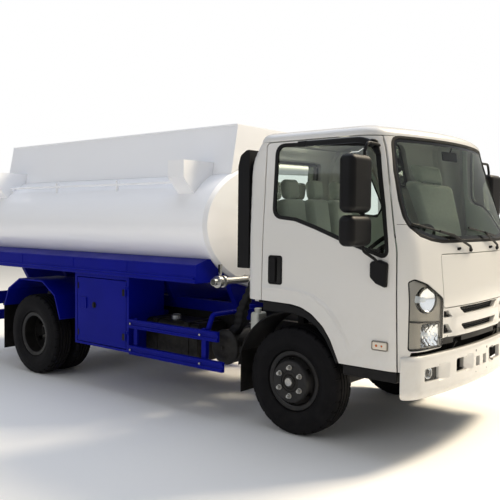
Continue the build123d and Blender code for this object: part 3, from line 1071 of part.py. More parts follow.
for side, sign in SIDES:
    reach = tuple(sorted((sign * FAR, sign * CAB_HALF_W / 2)))
    with BuildPart() as door:
        add(cab_skin.part)
        door_edge = tuple((x - PANEL_GAP / 2, z) for x, z in FRONT_GAP[:-1])
        door_top = ((FRONT_GAP[-1][0] - PANEL_GAP / 2, ROOF_SEAM_Z - PANEL_GAP),
                    (BACK_GAP_TOP_X + PANEL_GAP / 2, ROOF_SEAM_Z - PANEL_GAP), (BACK_GAP_X + PANEL_GAP / 2,
                                                                                BACK_FOOT_Z))
        add(prism(door_edge + door_top + tuple(reversed(ARCH_LINE)), "y", *reach), mode=Mode.INTERSECT)
        add(prism(DOOR_WINDOW, "y", *reach, corner=WINDOW_CORNER), mode=Mode.SUBTRACT)
        add(prism(SCREEN_OUTLINE, "x", CAB_PIVOT_X - 400, FAR, grow=RUN_GAP), mode=Mode.SUBTRACT)
        for hinge_z in DOOR_HINGE_ZS:
            hinge_rod(sign, hinge_z, DOOR_EYE_H / 2 + HINGE_PLATE_T + 2 * RUN_GAP, DOOR_EYE_R + RUN_GAP,
                      Mode.SUBTRACT)
            hinge_rod(sign, hinge_z, DOOR_EYE_H / 2, DOOR_EYE_R, Mode.ADD)
            slab((DOOR_HINGE[0] - 40, DOOR_HINGE[0]),
                 (sign * (DOOR_HINGE[1] - DOOR_EYE_R), sign * DOOR_HINGE[1]),
                 (hinge_z - DOOR_EYE_H / 2, hinge_z + DOOR_EYE_H / 2))
            hinge_rod(sign, hinge_z, DOOR_EYE_H, DOOR_PIN_R + PIN_GAP, Mode.SUBTRACT)
    finish(door, f"door_{side}")
    with BuildPart() as door_glass:
        add(glass_skin.part)
        add(prism(DOOR_WINDOW, "y", *reach, corner=WINDOW_CORNER, grow=-SEAT_GAP), mode=Mode.INTERSECT)
    finish(door_glass, f"door_glass_{side}")

# mirror heads: low and high edge
MIRROR_HEADS = ((1737, 2130), (1512, 1722))
MIRROR_X = (FRONT_AXLE_X + 665, FRONT_AXLE_X + 775)
MIRROR_Y = (1134, 1361)
POLE_X = FRONT_AXLE_X + 732
POLE_Y = 1120
POLE_R = 11
MIRROR_ARM_R = 8
FOOT_X = (FRONT_AXLE_X + 726, FRONT_AXLE_X + 858)
FOOT_Z = (1225, 1412)
FOOT_T = 42
HANDLE_X = (FRONT_AXLE_X - 186, FRONT_AXLE_X - 50)
HANDLE_Z = (1183, 1410)
TURN_LAMP_X = (FRONT_AXLE_X + 745, FRONT_AXLE_X + 871)
TURN_LAMP_Z = (784, 852)
VISOR_X = (FRONT_AXLE_X - 110, FRONT_AXLE_X + 590)
CAP_X = (FRONT_AXLE_X + 700, FRONT_AXLE_X + 746)
CAP_Z = (2150, 2232)
for side, sign in SIDES:
    with BuildPart() as door_fittings:
        skin_y = sign * (CAB_HALF_W + SEAT_GAP)
        for low, high in MIRROR_HEADS:
            slab(MIRROR_X, (sign * MIRROR_Y[0], sign * MIRROR_Y[1]), (low, high))
        fillet(door_fittings.edges().filter_by(Axis.Z), 28)
        fillet(door_fittings.edges().filter_by(Axis.Y), 18)
        for low, high in MIRROR_HEADS:
            rod((POLE_X, sign * POLE_Y, (low + high) / 2),
                (POLE_X, sign * (MIRROR_Y[0] + 10), (low + high) / 2), MIRROR_ARM_R)
        top_y = side_y(CAP_Z[0], CAP_X[0]) + SEAT_GAP
        corners = ((FRONT_AXLE_X + 770, sign * (CAB_HALF_W + FOOT_T - 12), 1400),
                   (POLE_X, sign * POLE_Y, 1500),
                   (POLE_X, sign * POLE_Y, 2205), (FRONT_AXLE_X + 732, sign * (top_y + 10), 2205))
        for first, last in zip(corners[:-1], corners[1:]):
            rod(first, last, POLE_R)
        for corner_point in corners[1:-1]:
            with Locations(corner_point):
                Sphere(POLE_R + WELD)
        slab(CAP_X, (sign * top_y, sign * (top_y + 26)), CAP_Z)
        slab(FOOT_X, (skin_y, sign * (CAB_HALF_W + FOOT_T)), FOOT_Z)
        slab(HANDLE_X, (skin_y, sign * (CAB_HALF_W + 8)), HANDLE_Z)
        slab((HANDLE_X[0] + 30, HANDLE_X[1] - 30), (sign * (CAB_HALF_W + 7), sign * (CAB_HALF_W + 30)),
             (HANDLE_Z[0] + 20, HANDLE_Z[1] - 20))
        slab(TURN_LAMP_X, (skin_y, sign * (CAB_HALF_W + 14)), TURN_LAMP_Z)
        visor_low = side_y(2240)
        visor_high = side_y(2268) + SEAT_GAP
        visor = ((sign * visor_high, 2282), (sign * visor_high, 2268), (sign * (visor_low + 28), 2238),
                 (sign * (visor_low + 32), 2240), (sign * (visor_high + 6), 2282))
        add(prism(visor, "x", *VISOR_X))
    finish(door_fittings, f"door_fittings_{side}")

with BuildPart() as cab_floor:
    slab((CAB_BACK_X + CAB_WALL + SEAT_GAP, FOOTWELL_X[0] + FLOOR_T), (-FLOOR_HALF_W, FLOOR_HALF_W),
         FLOOR_Z)
    slab((CAB_BACK_X + CAB_WALL + SEAT_GAP, FOOTWELL_X[0] + FLOOR_T), (-TUNNEL_HALF_W, TUNNEL_HALF_W),
         (FLOOR_Z[0], TUNNEL_TOP_Z))
    slab((CAB_BACK_X, FOOTWELL_X[0]), (-TUNNEL_HALF_W + FLOOR_T, TUNNEL_HALF_W - FLOOR_T),
         (FLOOR_Z[0] - WELD, TUNNEL_TOP_Z - FLOOR_T), mode=Mode.SUBTRACT)
    slab((FOOTWELL_X[0], FOOTWELL_X[0] + FLOOR_T), (-FLOOR_HALF_W, FLOOR_HALF_W), (FOOTWELL_Z, FLOOR_Z[1]))
    slab((FOOTWELL_X[0], FOOTWELL_X[0] + FLOOR_T), (-TUNNEL_HALF_W, TUNNEL_HALF_W),
         (FOOTWELL_Z, TUNNEL_TOP_Z))
    slab(FOOTWELL_X, (-STEP_Y[0], STEP_Y[0]), (FOOTWELL_Z, FOOTWELL_Z + FLOOR_T))
    slab((FOOTWELL_X[1] - FLOOR_T, FOOTWELL_X[1]), (-FRONT_WALL_HALF_W, FRONT_WALL_HALF_W),
         (FOOTWELL_Z, DASH_Z[0] - SEAT_GAP))
    for sign in (-1, 1):
        slab((FOOTWELL_X[0], FOOTWELL_X[0] + FLOOR_T), (sign * STEP_Y[0], sign * STEP_Y[1]),
             (STEP_Z, FOOTWELL_Z + FLOOR_T))
        slab((FOOTWELL_X[1] - FLOOR_T, FOOTWELL_X[1]), (sign * STEP_Y[0], sign * FRONT_WALL_HALF_W),
             (STEP_Z, FOOTWELL_Z + FLOOR_T))
        slab(FOOTWELL_X, (sign * STEP_Y[0], sign * FRONT_WALL_HALF_W), (STEP_Z, STEP_Z + FLOOR_T))
        slab(FOOTWELL_X, (sign * STEP_Y[0], sign * (STEP_Y[0] - FLOOR_T)), (STEP_Z, FOOTWELL_Z + FLOOR_T))
        arm = ((FOOTWELL_X[1] - WELD, FOOTWELL_Z + 4), (FRAME_FRONT_X + RUN_GAP, FRAME_TOP_Z + RUN_GAP),
               (CAB_PIVOT_X - 12, CAB_PIVOT_Z - 20),
               (CAB_PIVOT_X, CAB_PIVOT_Z - 24),
               (CAB_PIVOT_X + 24, CAB_PIVOT_Z), (CAB_PIVOT_X, CAB_PIVOT_Z + 24), (FOOTWELL_X[1] - WELD,
                                                                                  FOOTWELL_Z + 70))
        add(prism(arm, "y", *sorted((sign * (CAB_EAR_Y - RUN_GAP), sign * (CAB_EAR_Y - RUN_GAP - 25)))))
        rod((CAB_PIVOT_X, sign * (CAB_EAR_Y - RUN_GAP + WELD), CAB_PIVOT_Z),
            (CAB_PIVOT_X, sign * (CAB_EAR_Y - RUN_GAP - 26),
             CAB_PIVOT_Z), CAB_PIN_R + PIN_GAP, mode=Mode.SUBTRACT)
finish(cab_floor, "cab_floor")

FENDER_R = 535
FENDER_T = 8
FENDER_LIP = 80
FENDER_Y = (600, FLOOR_HALF_W)
SILL_Y = (FLOOR_HALF_W - 190, CAB_HALF_W - 12)
SILL_X = (FRONT_AXLE_X + 500, FRONT_AXLE_X + 930)
with BuildPart() as front_fenders:
    for sign in (-1, 1):
        with BuildSketch(Plane(origin=(FRONT_AXLE_X, sign * (FENDER_Y[0] + FENDER_Y[1]) / 2, AXLE_Z),
                               x_dir=(1, 0, 0), z_dir=(0, -1, 0))):
            Circle(FENDER_R + FENDER_T)
            Circle(FENDER_R, mode=Mode.SUBTRACT)
        extrude(amount=(FENDER_Y[1] - FENDER_Y[0]) / 2, both=True)
        with BuildSketch(Plane(origin=(FRONT_AXLE_X, sign * (FENDER_Y[1] - FENDER_T / 2), AXLE_Z),
                               x_dir=(1, 0, 0), z_dir=(0, -1, 0))):
            Circle(FENDER_R + FENDER_LIP)
            Circle(FENDER_R, mode=Mode.SUBTRACT)
        extrude(amount=FENDER_T / 2, both=True)
    fender_keep = ((FRONT_AXLE_X - 366, 790), (FRONT_AXLE_X + 470, CAB_BOTTOM_Z - 40),
                   (FRONT_AXLE_X + FAR, CAB_BOTTOM_Z - 40),
                   (FRONT_AXLE_X + FAR, FLOOR_Z[0] - SEAT_GAP), (FRONT_AXLE_X - 366, FLOOR_Z[0] - SEAT_GAP))
    add(prism(fender_keep, "y", -FAR, FAR), mode=Mode.INTERSECT)
    for sign in (-1, 1):
        slab(SILL_X, (sign * SILL_Y[0], sign * SILL_Y[1]), (568, CAB_BOTTOM_Z - RUN_GAP))
        slab((SILL_X[0] - 60, SILL_X[0] + 20), (sign * SILL_Y[0], sign * FENDER_Y[1]),
             (CAB_BOTTOM_Z - 40, CAB_BOTTOM_Z - RUN_GAP))
        slab((SILL_X[0] + 60, SILL_X[0] + 120), (sign * (SILL_Y[0] + 20), sign * (SILL_Y[0] + 60)),
             (CAB_BOTTOM_Z - RUN_GAP - WELD, STEP_Z - SEAT_GAP))
        slab((FRONT_AXLE_X - 40, FRONT_AXLE_X + 40), (sign * 700, sign * 760),
             (AXLE_Z + FENDER_R, FLOOR_Z[0] - SEAT_GAP))
finish(front_fenders, "front_fenders")

# seat, middle, width, base height
SEAT_TABLE = (("driver", -565, 440, FLOOR_Z[1]), ("middle", 0, 400, TUNNEL_TOP_Z),
              ("passenger", 565, 440, FLOOR_Z[1]))
SEAT_X = (FRONT_AXLE_X - 130, FRONT_AXLE_X + 350)
SEAT_CUSHION_Z = (1200, 1330)
SEAT_TOP_Z = 1840
HEADREST_TOP_Z = 2010
with BuildPart() as seats:
    for _, middle, width, base in SEAT_TABLE:
        span = (middle - width / 2, middle + width / 2)
        slab((SEAT_X[0], SEAT_X[1] - 40), (span[0] + 30, span[1] - 30),
             (base + SEAT_GAP, SEAT_CUSHION_Z[0] + WELD))
        slab(SEAT_X, span, SEAT_CUSHION_Z)
        back = ((SEAT_X[0] - 10, SEAT_CUSHION_Z[0] + 20), (SEAT_X[0] + 110, SEAT_CUSHION_Z[0] + 20),
                (SEAT_X[0] - 10, SEAT_TOP_Z), (SEAT_X[0] - 110, SEAT_TOP_Z))
        add(prism(back, "y", *span))
        rest = ((SEAT_X[0] - 115, SEAT_TOP_Z - WELD), (SEAT_X[0] - 15, SEAT_TOP_Z - WELD),
                (SEAT_X[0] - 35, HEADREST_TOP_Z), (SEAT_X[0] - 125, HEADREST_TOP_Z))
        add(prism(rest, "y", middle - 130, middle + 130))
finish(seats, "seats")

WHEEL_PLACE = (FRONT_AXLE_X + 610, -500, 1490)
WHEEL_TILT = 38
WHEEL_RING_R = 205
WHEEL_GRIP_R = 15
COLUMN_R = 24
wheel_plane = Plane(origin=WHEEL_PLACE, x_dir=(0, 1, 0),
                    z_dir=(-sin(radians(WHEEL_TILT)), 0, cos(radians(WHEEL_TILT))))
column_foot = wheel_plane.from_local_coords((0, 0, -170))
with BuildPart() as dashboard:
    dash = ((DASH_X[0] + 60, DASH_Z[0]), (DASH_X[1], DASH_Z[0]), (DASH_X[1], DASH_Z[1] - 10),
            (DASH_X[1] - 90, DASH_Z[1]),
            (DASH_X[0] + 60, DASH_Z[1] - 40), (DASH_X[0], DASH_Z[1] - 160))
    add(prism(dash, "y", -DASH_HALF_W, DASH_HALF_W))
    slab((DASH_X[0] + 20, DASH_X[0] + 200), (WHEEL_PLACE[1] - 190, WHEEL_PLACE[1] + 190),
         (DASH_Z[1] - 100, DASH_Z[1] + 50))
    add(cab_form(LAMP_DEPTH + RUN_GAP), mode=Mode.INTERSECT)
    rod(tuple(wheel_plane.from_local_coords((0, 0, -10))), tuple(column_foot), COLUMN_R + PIN_GAP,
        mode=Mode.SUBTRACT)
finish(dashboard, "dashboard")

with BuildPart() as steering_wheel:
    with BuildSketch(wheel_plane):
        Circle(WHEEL_RING_R + WHEEL_GRIP_R)
        Circle(WHEEL_RING_R - WHEEL_GRIP_R, mode=Mode.SUBTRACT)
    extrude(amount=WHEEL_GRIP_R, both=True)
    with BuildSketch(wheel_plane.offset(-20)):
        Circle(52)
        Rectangle(2 * WHEEL_RING_R, 36)
        with Locations((0, -WHEEL_RING_R / 2)):
            Rectangle(36, WHEEL_RING_R)
    extrude(amount=16)
    column_end = wheel_plane.from_local_coords((0, 0, -170 + SEAT_GAP))
    rod(tuple(wheel_plane.from_local_coords((0, 0, -10))), tuple(column_end), COLUMN_R)
finish(steering_wheel, "steering_wheel")

WIPER_PIVOTS = (-430, 60)
with BuildPart() as wipers:
    for pivot_y in WIPER_PIVOTS:
        base = (nose_x(pivot_y, 1490 - 18) + SEAT_GAP + 1, pivot_y, 1490)
        bend = (nose_x(pivot_y - 60, 1560) + 14, pivot_y - 60, 1560)
        tip = (nose_x(pivot_y - 420, 1660) + 8, pivot_y - 420, 1660)
        rod((base[0] - 1, base[1], base[2]), (base[0] + 20, base[1], base[2]), 16)
        rod((base[0] + 12, base[1], base[2]), bend, 7)
        rod(bend, tip, 6)
finish(wipers, "wipers")

with BuildPart() as intake_duct:
    slab(DUCT_X, DUCT_Y, (DUCT_SPLIT_Z, DUCT_TOP_Z))
    fillet(intake_duct.edges().filter_by(Axis.Y).group_by(Axis.Z)[-1], 45)
    for height in (1420, 2120):
        back_x = CAB_BACK_X + cab_section(height)[-1] - SEAT_GAP
        slab((DUCT_X[1] - WELD, back_x), (DUCT_Y[0] + 50, DUCT_Y[1] - 20), (height, height + 40))
finish(intake_duct, "intake_duct")
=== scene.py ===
import math
from collections import namedtuple
import bpy
import bmesh
from mathutils import Matrix, Vector
from mathutils.geometry import delaunay_2d_cdt


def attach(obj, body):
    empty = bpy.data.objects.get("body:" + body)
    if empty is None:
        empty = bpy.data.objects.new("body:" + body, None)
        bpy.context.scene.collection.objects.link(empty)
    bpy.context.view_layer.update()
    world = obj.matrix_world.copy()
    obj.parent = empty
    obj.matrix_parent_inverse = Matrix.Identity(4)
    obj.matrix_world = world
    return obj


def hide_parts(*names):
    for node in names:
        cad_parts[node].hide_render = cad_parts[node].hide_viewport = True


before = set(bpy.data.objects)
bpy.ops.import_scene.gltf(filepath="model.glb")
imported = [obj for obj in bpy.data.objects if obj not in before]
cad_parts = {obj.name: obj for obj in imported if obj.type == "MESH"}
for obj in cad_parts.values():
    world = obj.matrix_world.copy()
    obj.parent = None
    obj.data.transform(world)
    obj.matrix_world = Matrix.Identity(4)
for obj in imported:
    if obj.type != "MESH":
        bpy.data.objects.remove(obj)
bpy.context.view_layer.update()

# ---------------- measures, in millimetres
XF = 1852.5  # front axle, along the truck
WHEELBASE = 3365
XR = XF - WHEELBASE
AXLE_Z = 428
FRONT_WHEEL_Y, REAR_WHEEL_Y = 828, 834
TWIN_OFFSET = 135
STUD_CIRCLE_R = 111.1
TAU = 2 * math.pi
DUST_PATCH_MM = 1000 / 14


# ---------------- materials
def linear(code):
    """sRGB hex to the linear colour that the shader takes."""
    out = []
    for i in (1, 3, 5):
        c = int(code[i:i + 2], 16) / 255
        out.append(c / 12.92 if c <= 0.04045 else ((c + 0.055) / 1.055) ** 2.4)
    return (*out, 1.0)


def add_node(tree, kind, links=(), **values):
    """A node with its settings and socket values; links are (output socket, input name)."""
    node = tree.nodes.new(kind)
    for key, value in values.items():
        if hasattr(node, key):
            setattr(node, key, value)
        else:
            node.inputs[key.replace("_", " ")].default_value = value
    for source, target in links:
        tree.links.new(source, node.inputs[target])
    return node


def surface(name, color, rough=0.5, metal=0.0, coat=0.0, spec=0.5, grain=0.0, grain_mm=2.0,
            mottle=0.0, mottle_mm=120.0, dark=None, clear=0.0, ior=1.5, dust=0.0, dust_top=900.0,
            dust_color="#8D857A", glow=None, sheen=0.0, rough_vary=0.0):
    """Principled material: mottling towards dark, road dust that thins upwards, fine grain bump."""
    mat = bpy.data.materials.new(name)
    mat.use_nodes = True
    tree = mat.node_tree
    shader = tree.nodes["Principled BSDF"]
    base = shader.inputs["Base Color"]
    base.default_value = linear(color)
    mat.diffuse_color = linear(color)
    for key, value in {"Roughness": rough, "Metallic": metal, "Coat Weight": coat, "Coat Roughness": 0.05,
                       "Specular IOR Level": spec, "IOR": ior, "Transmission Weight": clear,
                       "Sheen Weight": sheen}.items():
        shader.inputs[key].default_value = value
    if glow:
        shader.inputs["Emission Color"].default_value = linear(color)
        shader.inputs["Emission Strength"].default_value = glow
    if not (mottle or dust or grain or rough_vary):
        return mat
    place = tree.nodes.new("ShaderNodeTexCoord").outputs["Object"]
    tone = None
    if mottle or rough_vary:
        cloud = add_node(tree, "ShaderNodeTexNoise", [(place, "Vector")], Scale=1000 / mottle_mm,
                         Detail=5.0, Roughness=0.6)
        span = add_node(tree, "ShaderNodeMapRange", [(cloud.outputs["Fac"], "Value")], From_Min=0.35,
                        From_Max=0.7)
        if mottle:
            blend = add_node(tree, "ShaderNodeMix", data_type="RGBA")
            share = add_node(tree, "ShaderNodeMath", [(span.outputs[0], 0)], operation="MULTIPLY")
            share.inputs[1].default_value = mottle
            tree.links.new(share.outputs[0], blend.inputs[0])
            blend.inputs[6].default_value = linear(color)
            blend.inputs[7].default_value = linear(dark or "#202020")
            tone = blend.outputs[2]
        if rough_vary:
            vary = add_node(tree, "ShaderNodeMapRange", [(cloud.outputs["Fac"], "Value")], From_Min=0.3,
                            From_Max=0.75, To_Min=rough, To_Max=min(rough + rough_vary, 1.0))
            tree.links.new(vary.outputs[0], shader.inputs["Roughness"])
    if dust:
        parts = add_node(tree, "ShaderNodeSeparateXYZ", [(place, 0)])
        speck = add_node(tree, "ShaderNodeTexNoise", [(place, "Vector")], Scale=1000 / DUST_PATCH_MM,
                         Detail=7.0, Roughness=0.7)
        low = add_node(tree, "ShaderNodeMapRange", [(parts.outputs["Z"], "Value")],
                       From_Min=dust_top / 1000, From_Max=0.0, To_Min=0.0, To_Max=dust)
        patch = add_node(tree, "ShaderNodeMapRange", [(speck.outputs["Fac"], "Value")], From_Min=0.3,
                         From_Max=0.72)
        amount = add_node(tree, "ShaderNodeMath", [(low.outputs[0], 0), (patch.outputs[0], 1)],
                          operation="MULTIPLY")
        blend = add_node(tree, "ShaderNodeMix", [(amount.outputs[0], 0)], data_type="RGBA")
        blend.inputs[6].default_value = linear(color)
        if tone:
            tree.links.new(tone, blend.inputs[6])
        blend.inputs[7].default_value = linear(dust_color)
        tone = blend.outputs[2]
    if tone:
        tree.links.new(tone, base)
    if grain:
        fine = add_node(tree, "ShaderNodeTexNoise", [(place, "Vector")], Scale=1000 / grain_mm, Detail=3.0)
        bump = add_node(tree, "ShaderNodeBump", [(fine.outputs["Fac"], "Height")], Strength=grain,
                        Distance=grain_mm / 4000)
        tree.links.new(bump.outputs[0], shader.inputs["Normal"])
    return mat


# The grain of moulded plastic, rubber and castings is under 1 mm and wouldn't show, so it is drawn at
# 1.5 to 4 mm. Each comment says what its material gives the eye.

# a clear coat draws soft highlights along the pressings, and dust greys the lower cab
CAB_WHITE = surface("Cab enamel, sprayed white", "#DAD9D6", 0.28, coat=0.5, mottle=0.05, dark="#D3D0C9",
                    mottle_mm=1200, dust=0.35, dust_top=1250, dust_color="#B4A892", rough_vary=0.1)
# whiter and smoother than the cab: broad bright reflections along the barrel
TANK_WHITE = surface("Tank enamel, sprayed white on sheet steel", "#FBFCFF", 0.2, coat=0.6, mottle=0.06,
                     dark="#EDEEF0", mottle_mm=900, rough_vary=0.08)
# a deep colour with little shine, darker in patches
BLUE = surface("Deep blue enamel on folded steel", "#041088", 0.34, spec=0.08, mottle=0.3, dark="#040C60",
               mottle_mm=400, dust=0.10, dust_top=1000, dust_color="#3B4270", rough_vary=0.12)
# the moulded grain breaks highlights into a dull sheen
BLACK_PLASTIC = surface("Black polypropylene, grained moulding", "#08080B", 0.42, spec=0.2, grain=0.2,
                        grain_mm=1.6, mottle=0.3, dark="#19191B", mottle_mm=250, dust=0.12,
                        rough_vary=0.12)
# small sharp highlights on a black that looks wet
GLOSS_BLACK = surface("Black ABS, polished moulding", "#08090B", 0.16, spec=0.35)
# a matt black line with no sharp highlight
RUBBER = surface("Black EPDM rubber, extruded", "#0B0B0D", 0.6, spec=0.25, grain=0.15)
# matt and a little brown with dust, so that the tread reads by its shadows
TYRE_RUBBER = surface("Tyre rubber, moulded", "#060609", 0.66, spec=0.14, grain=0.3, grain_mm=2.5,
                      mottle=0.4, dark="#17161A", dust=0.14, dust_top=860, dust_color="#4A443C")
# a dull flat sheet, dusty at its foot
FLAP = surface("Flap rubber, cut sheet", "#070708", 0.7, spec=0.2, grain=0.3, grain_mm=3, dust=0.12,
               dust_top=800)
# satin black with worn brown patches under dust that thins upwards
CHASSIS = surface("Chassis paint, dipped black", "#060608", 0.42, spec=0.2, mottle=0.4, dark="#1B1917",
                  mottle_mm=140, grain=0.12, grain_mm=3, dust=0.22, dust_top=1000, rough_vary=0.2)
# rough under its paint: uneven, dull and a little brown
CASTING = surface("Grey iron casting, painted black", "#0F0F10", 0.5, spec=0.3, grain=0.6, grain_mm=4,
                  mottle=0.5, dark="#24201B", mottle_mm=90, dust=0.2)
# baked paint draws a tight highlight round the dished disc
WHEEL_BLACK = surface("Wheel paint, baked black on pressed steel", "#0A0A0D", 0.32, spec=0.35, mottle=0.4,
                      dark="#191715", mottle_mm=60, dust=0.12, dust_top=860, rough_vary=0.2)
# bright nuts with dull spots, standing out from the black wheel
ZINC = surface("Zinc-plated steel nuts, pressed", "#B9B8B4", 0.3, metal=0.9, mottle=0.3, dark="#8C8780",
               mottle_mm=12)
# bright, with a softness that changes along the turning
STEEL = surface("Stainless steel, turned", "#C4C4C2", 0.26, metal=1.0, rough_vary=0.15, mottle=0.2,
                dark="#9A9997", mottle_mm=40)
# a warm dull grey with heat stains
EXHAUST = surface("Aluminised steel, heat-dulled", "#6E6862", 0.5, metal=0.7, mottle=0.7, dark="#4A3B30",
                  mottle_mm=70, grain=0.2)
# the soft broad highlights of brushed metal
ALLOY = surface("Aluminium casting, brushed", "#B8BABB", 0.33, metal=0.9, rough_vary=0.2, mottle=0.3,
                dark="#8F9192", mottle_mm=60)
# a near mirror that fills the lamp with light and dark shapes
CHROME = surface("Vapour-coated reflector, moulded", "#E6E8EA", 0.06, metal=1.0)
# a faint green cast over the dark inside, with clean reflections
GLASS = surface("Safety glass, tinted green and laminated", "#D9E7DE", 0.0, clear=1.0, ior=1.45)
# a clear cover that bends what lies behind it only a little
LENS = surface("Polycarbonate lens, moulded clear", "#F2F5F6", 0.02, clear=1.0, ior=1.2, coat=0.2)
# a saturated orange with some depth
AMBER = surface("Polycarbonate lens, moulded amber", "#E0701A", 0.1, clear=0.3, coat=0.5)
# a saturated red with some depth
RED = surface("Polycarbonate lens, moulded red", "#A01012", 0.1, clear=0.25, coat=0.5)
# a milky bulb given a faint glow: a painted bright spot in the reflector
BULB_PAINTED_GLOW = surface("Bulb glass, blown", "#E9ECEC", 0.08, coat=0.6, glow=0.15)
# an opaque black border that hides the edge of the glass
FRIT = surface("Ceramic frit, printed black on glass", "#0B0C0D", 0.18, coat=0.5)
# a pale matt grey with fine grain
TRIM = surface("Cab lining, moulded grey polypropylene", "#BEC6BC", 0.6, grain=0.3, grain_mm=1.5)
# greener and a little smoother than the lining
DASH = surface("Dashboard, moulded grey polypropylene", "#AFC0B3", 0.55, grain=0.3, grain_mm=1.5)
# soft and matt; threads of about 1 mm wouldn't show, so the weave is drawn coarser
CLOTH = surface("Woven polyester cloth", "#A3A89F", 0.92, grain=0.8, grain_mm=2.2, sheen=0.35, mottle=0.3,
                dark="#8A8F86", mottle_mm=30)
# pale, softly shining and slightly yellowed
MILK = surface("Polyethylene, blow-moulded milky", "#DEDFD6", 0.4, coat=0.1, mottle=0.15, dark="#B9B9AC",
               mottle_mm=60)
# a pale lamp under a clear skin
PEARL = surface("Polycarbonate lens, moulded over a pale bed", "#D8CFC0", 0.12, coat=0.6)
# the yellowish dull metal of clamps
BEIGE = surface("Zinc clamp, passivated", "#B7A27C", 0.4, metal=0.6)


# ---------------- pieces
def settle(mesh, name, mat, body, replaces=()):
    """An object of a mesh given in millimetres, riding on a body and standing for CAD nodes."""
    mesh.transform(Matrix.Scale(0.001, 4))
    mesh.materials.append(mat)
    obj = bpy.data.objects.new(name, mesh)
    bpy.context.scene.collection.objects.link(obj)
    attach(obj, body)
    if replaces:
        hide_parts(*replaces)
    return obj


def soften(bm, edges, offset, segs=2):
    """Rounds edges with a bevel."""
    bmesh.ops.bevel(bm, geom=edges, offset=offset, segments=segs, profile=0.5, affect="EDGES",
                    clamp_overlap=True)


def facing(way):
    """Turn that lays the Z axis along a way."""
    return Vector(way).to_track_quat("Z", "Y").to_matrix().to_4x4()


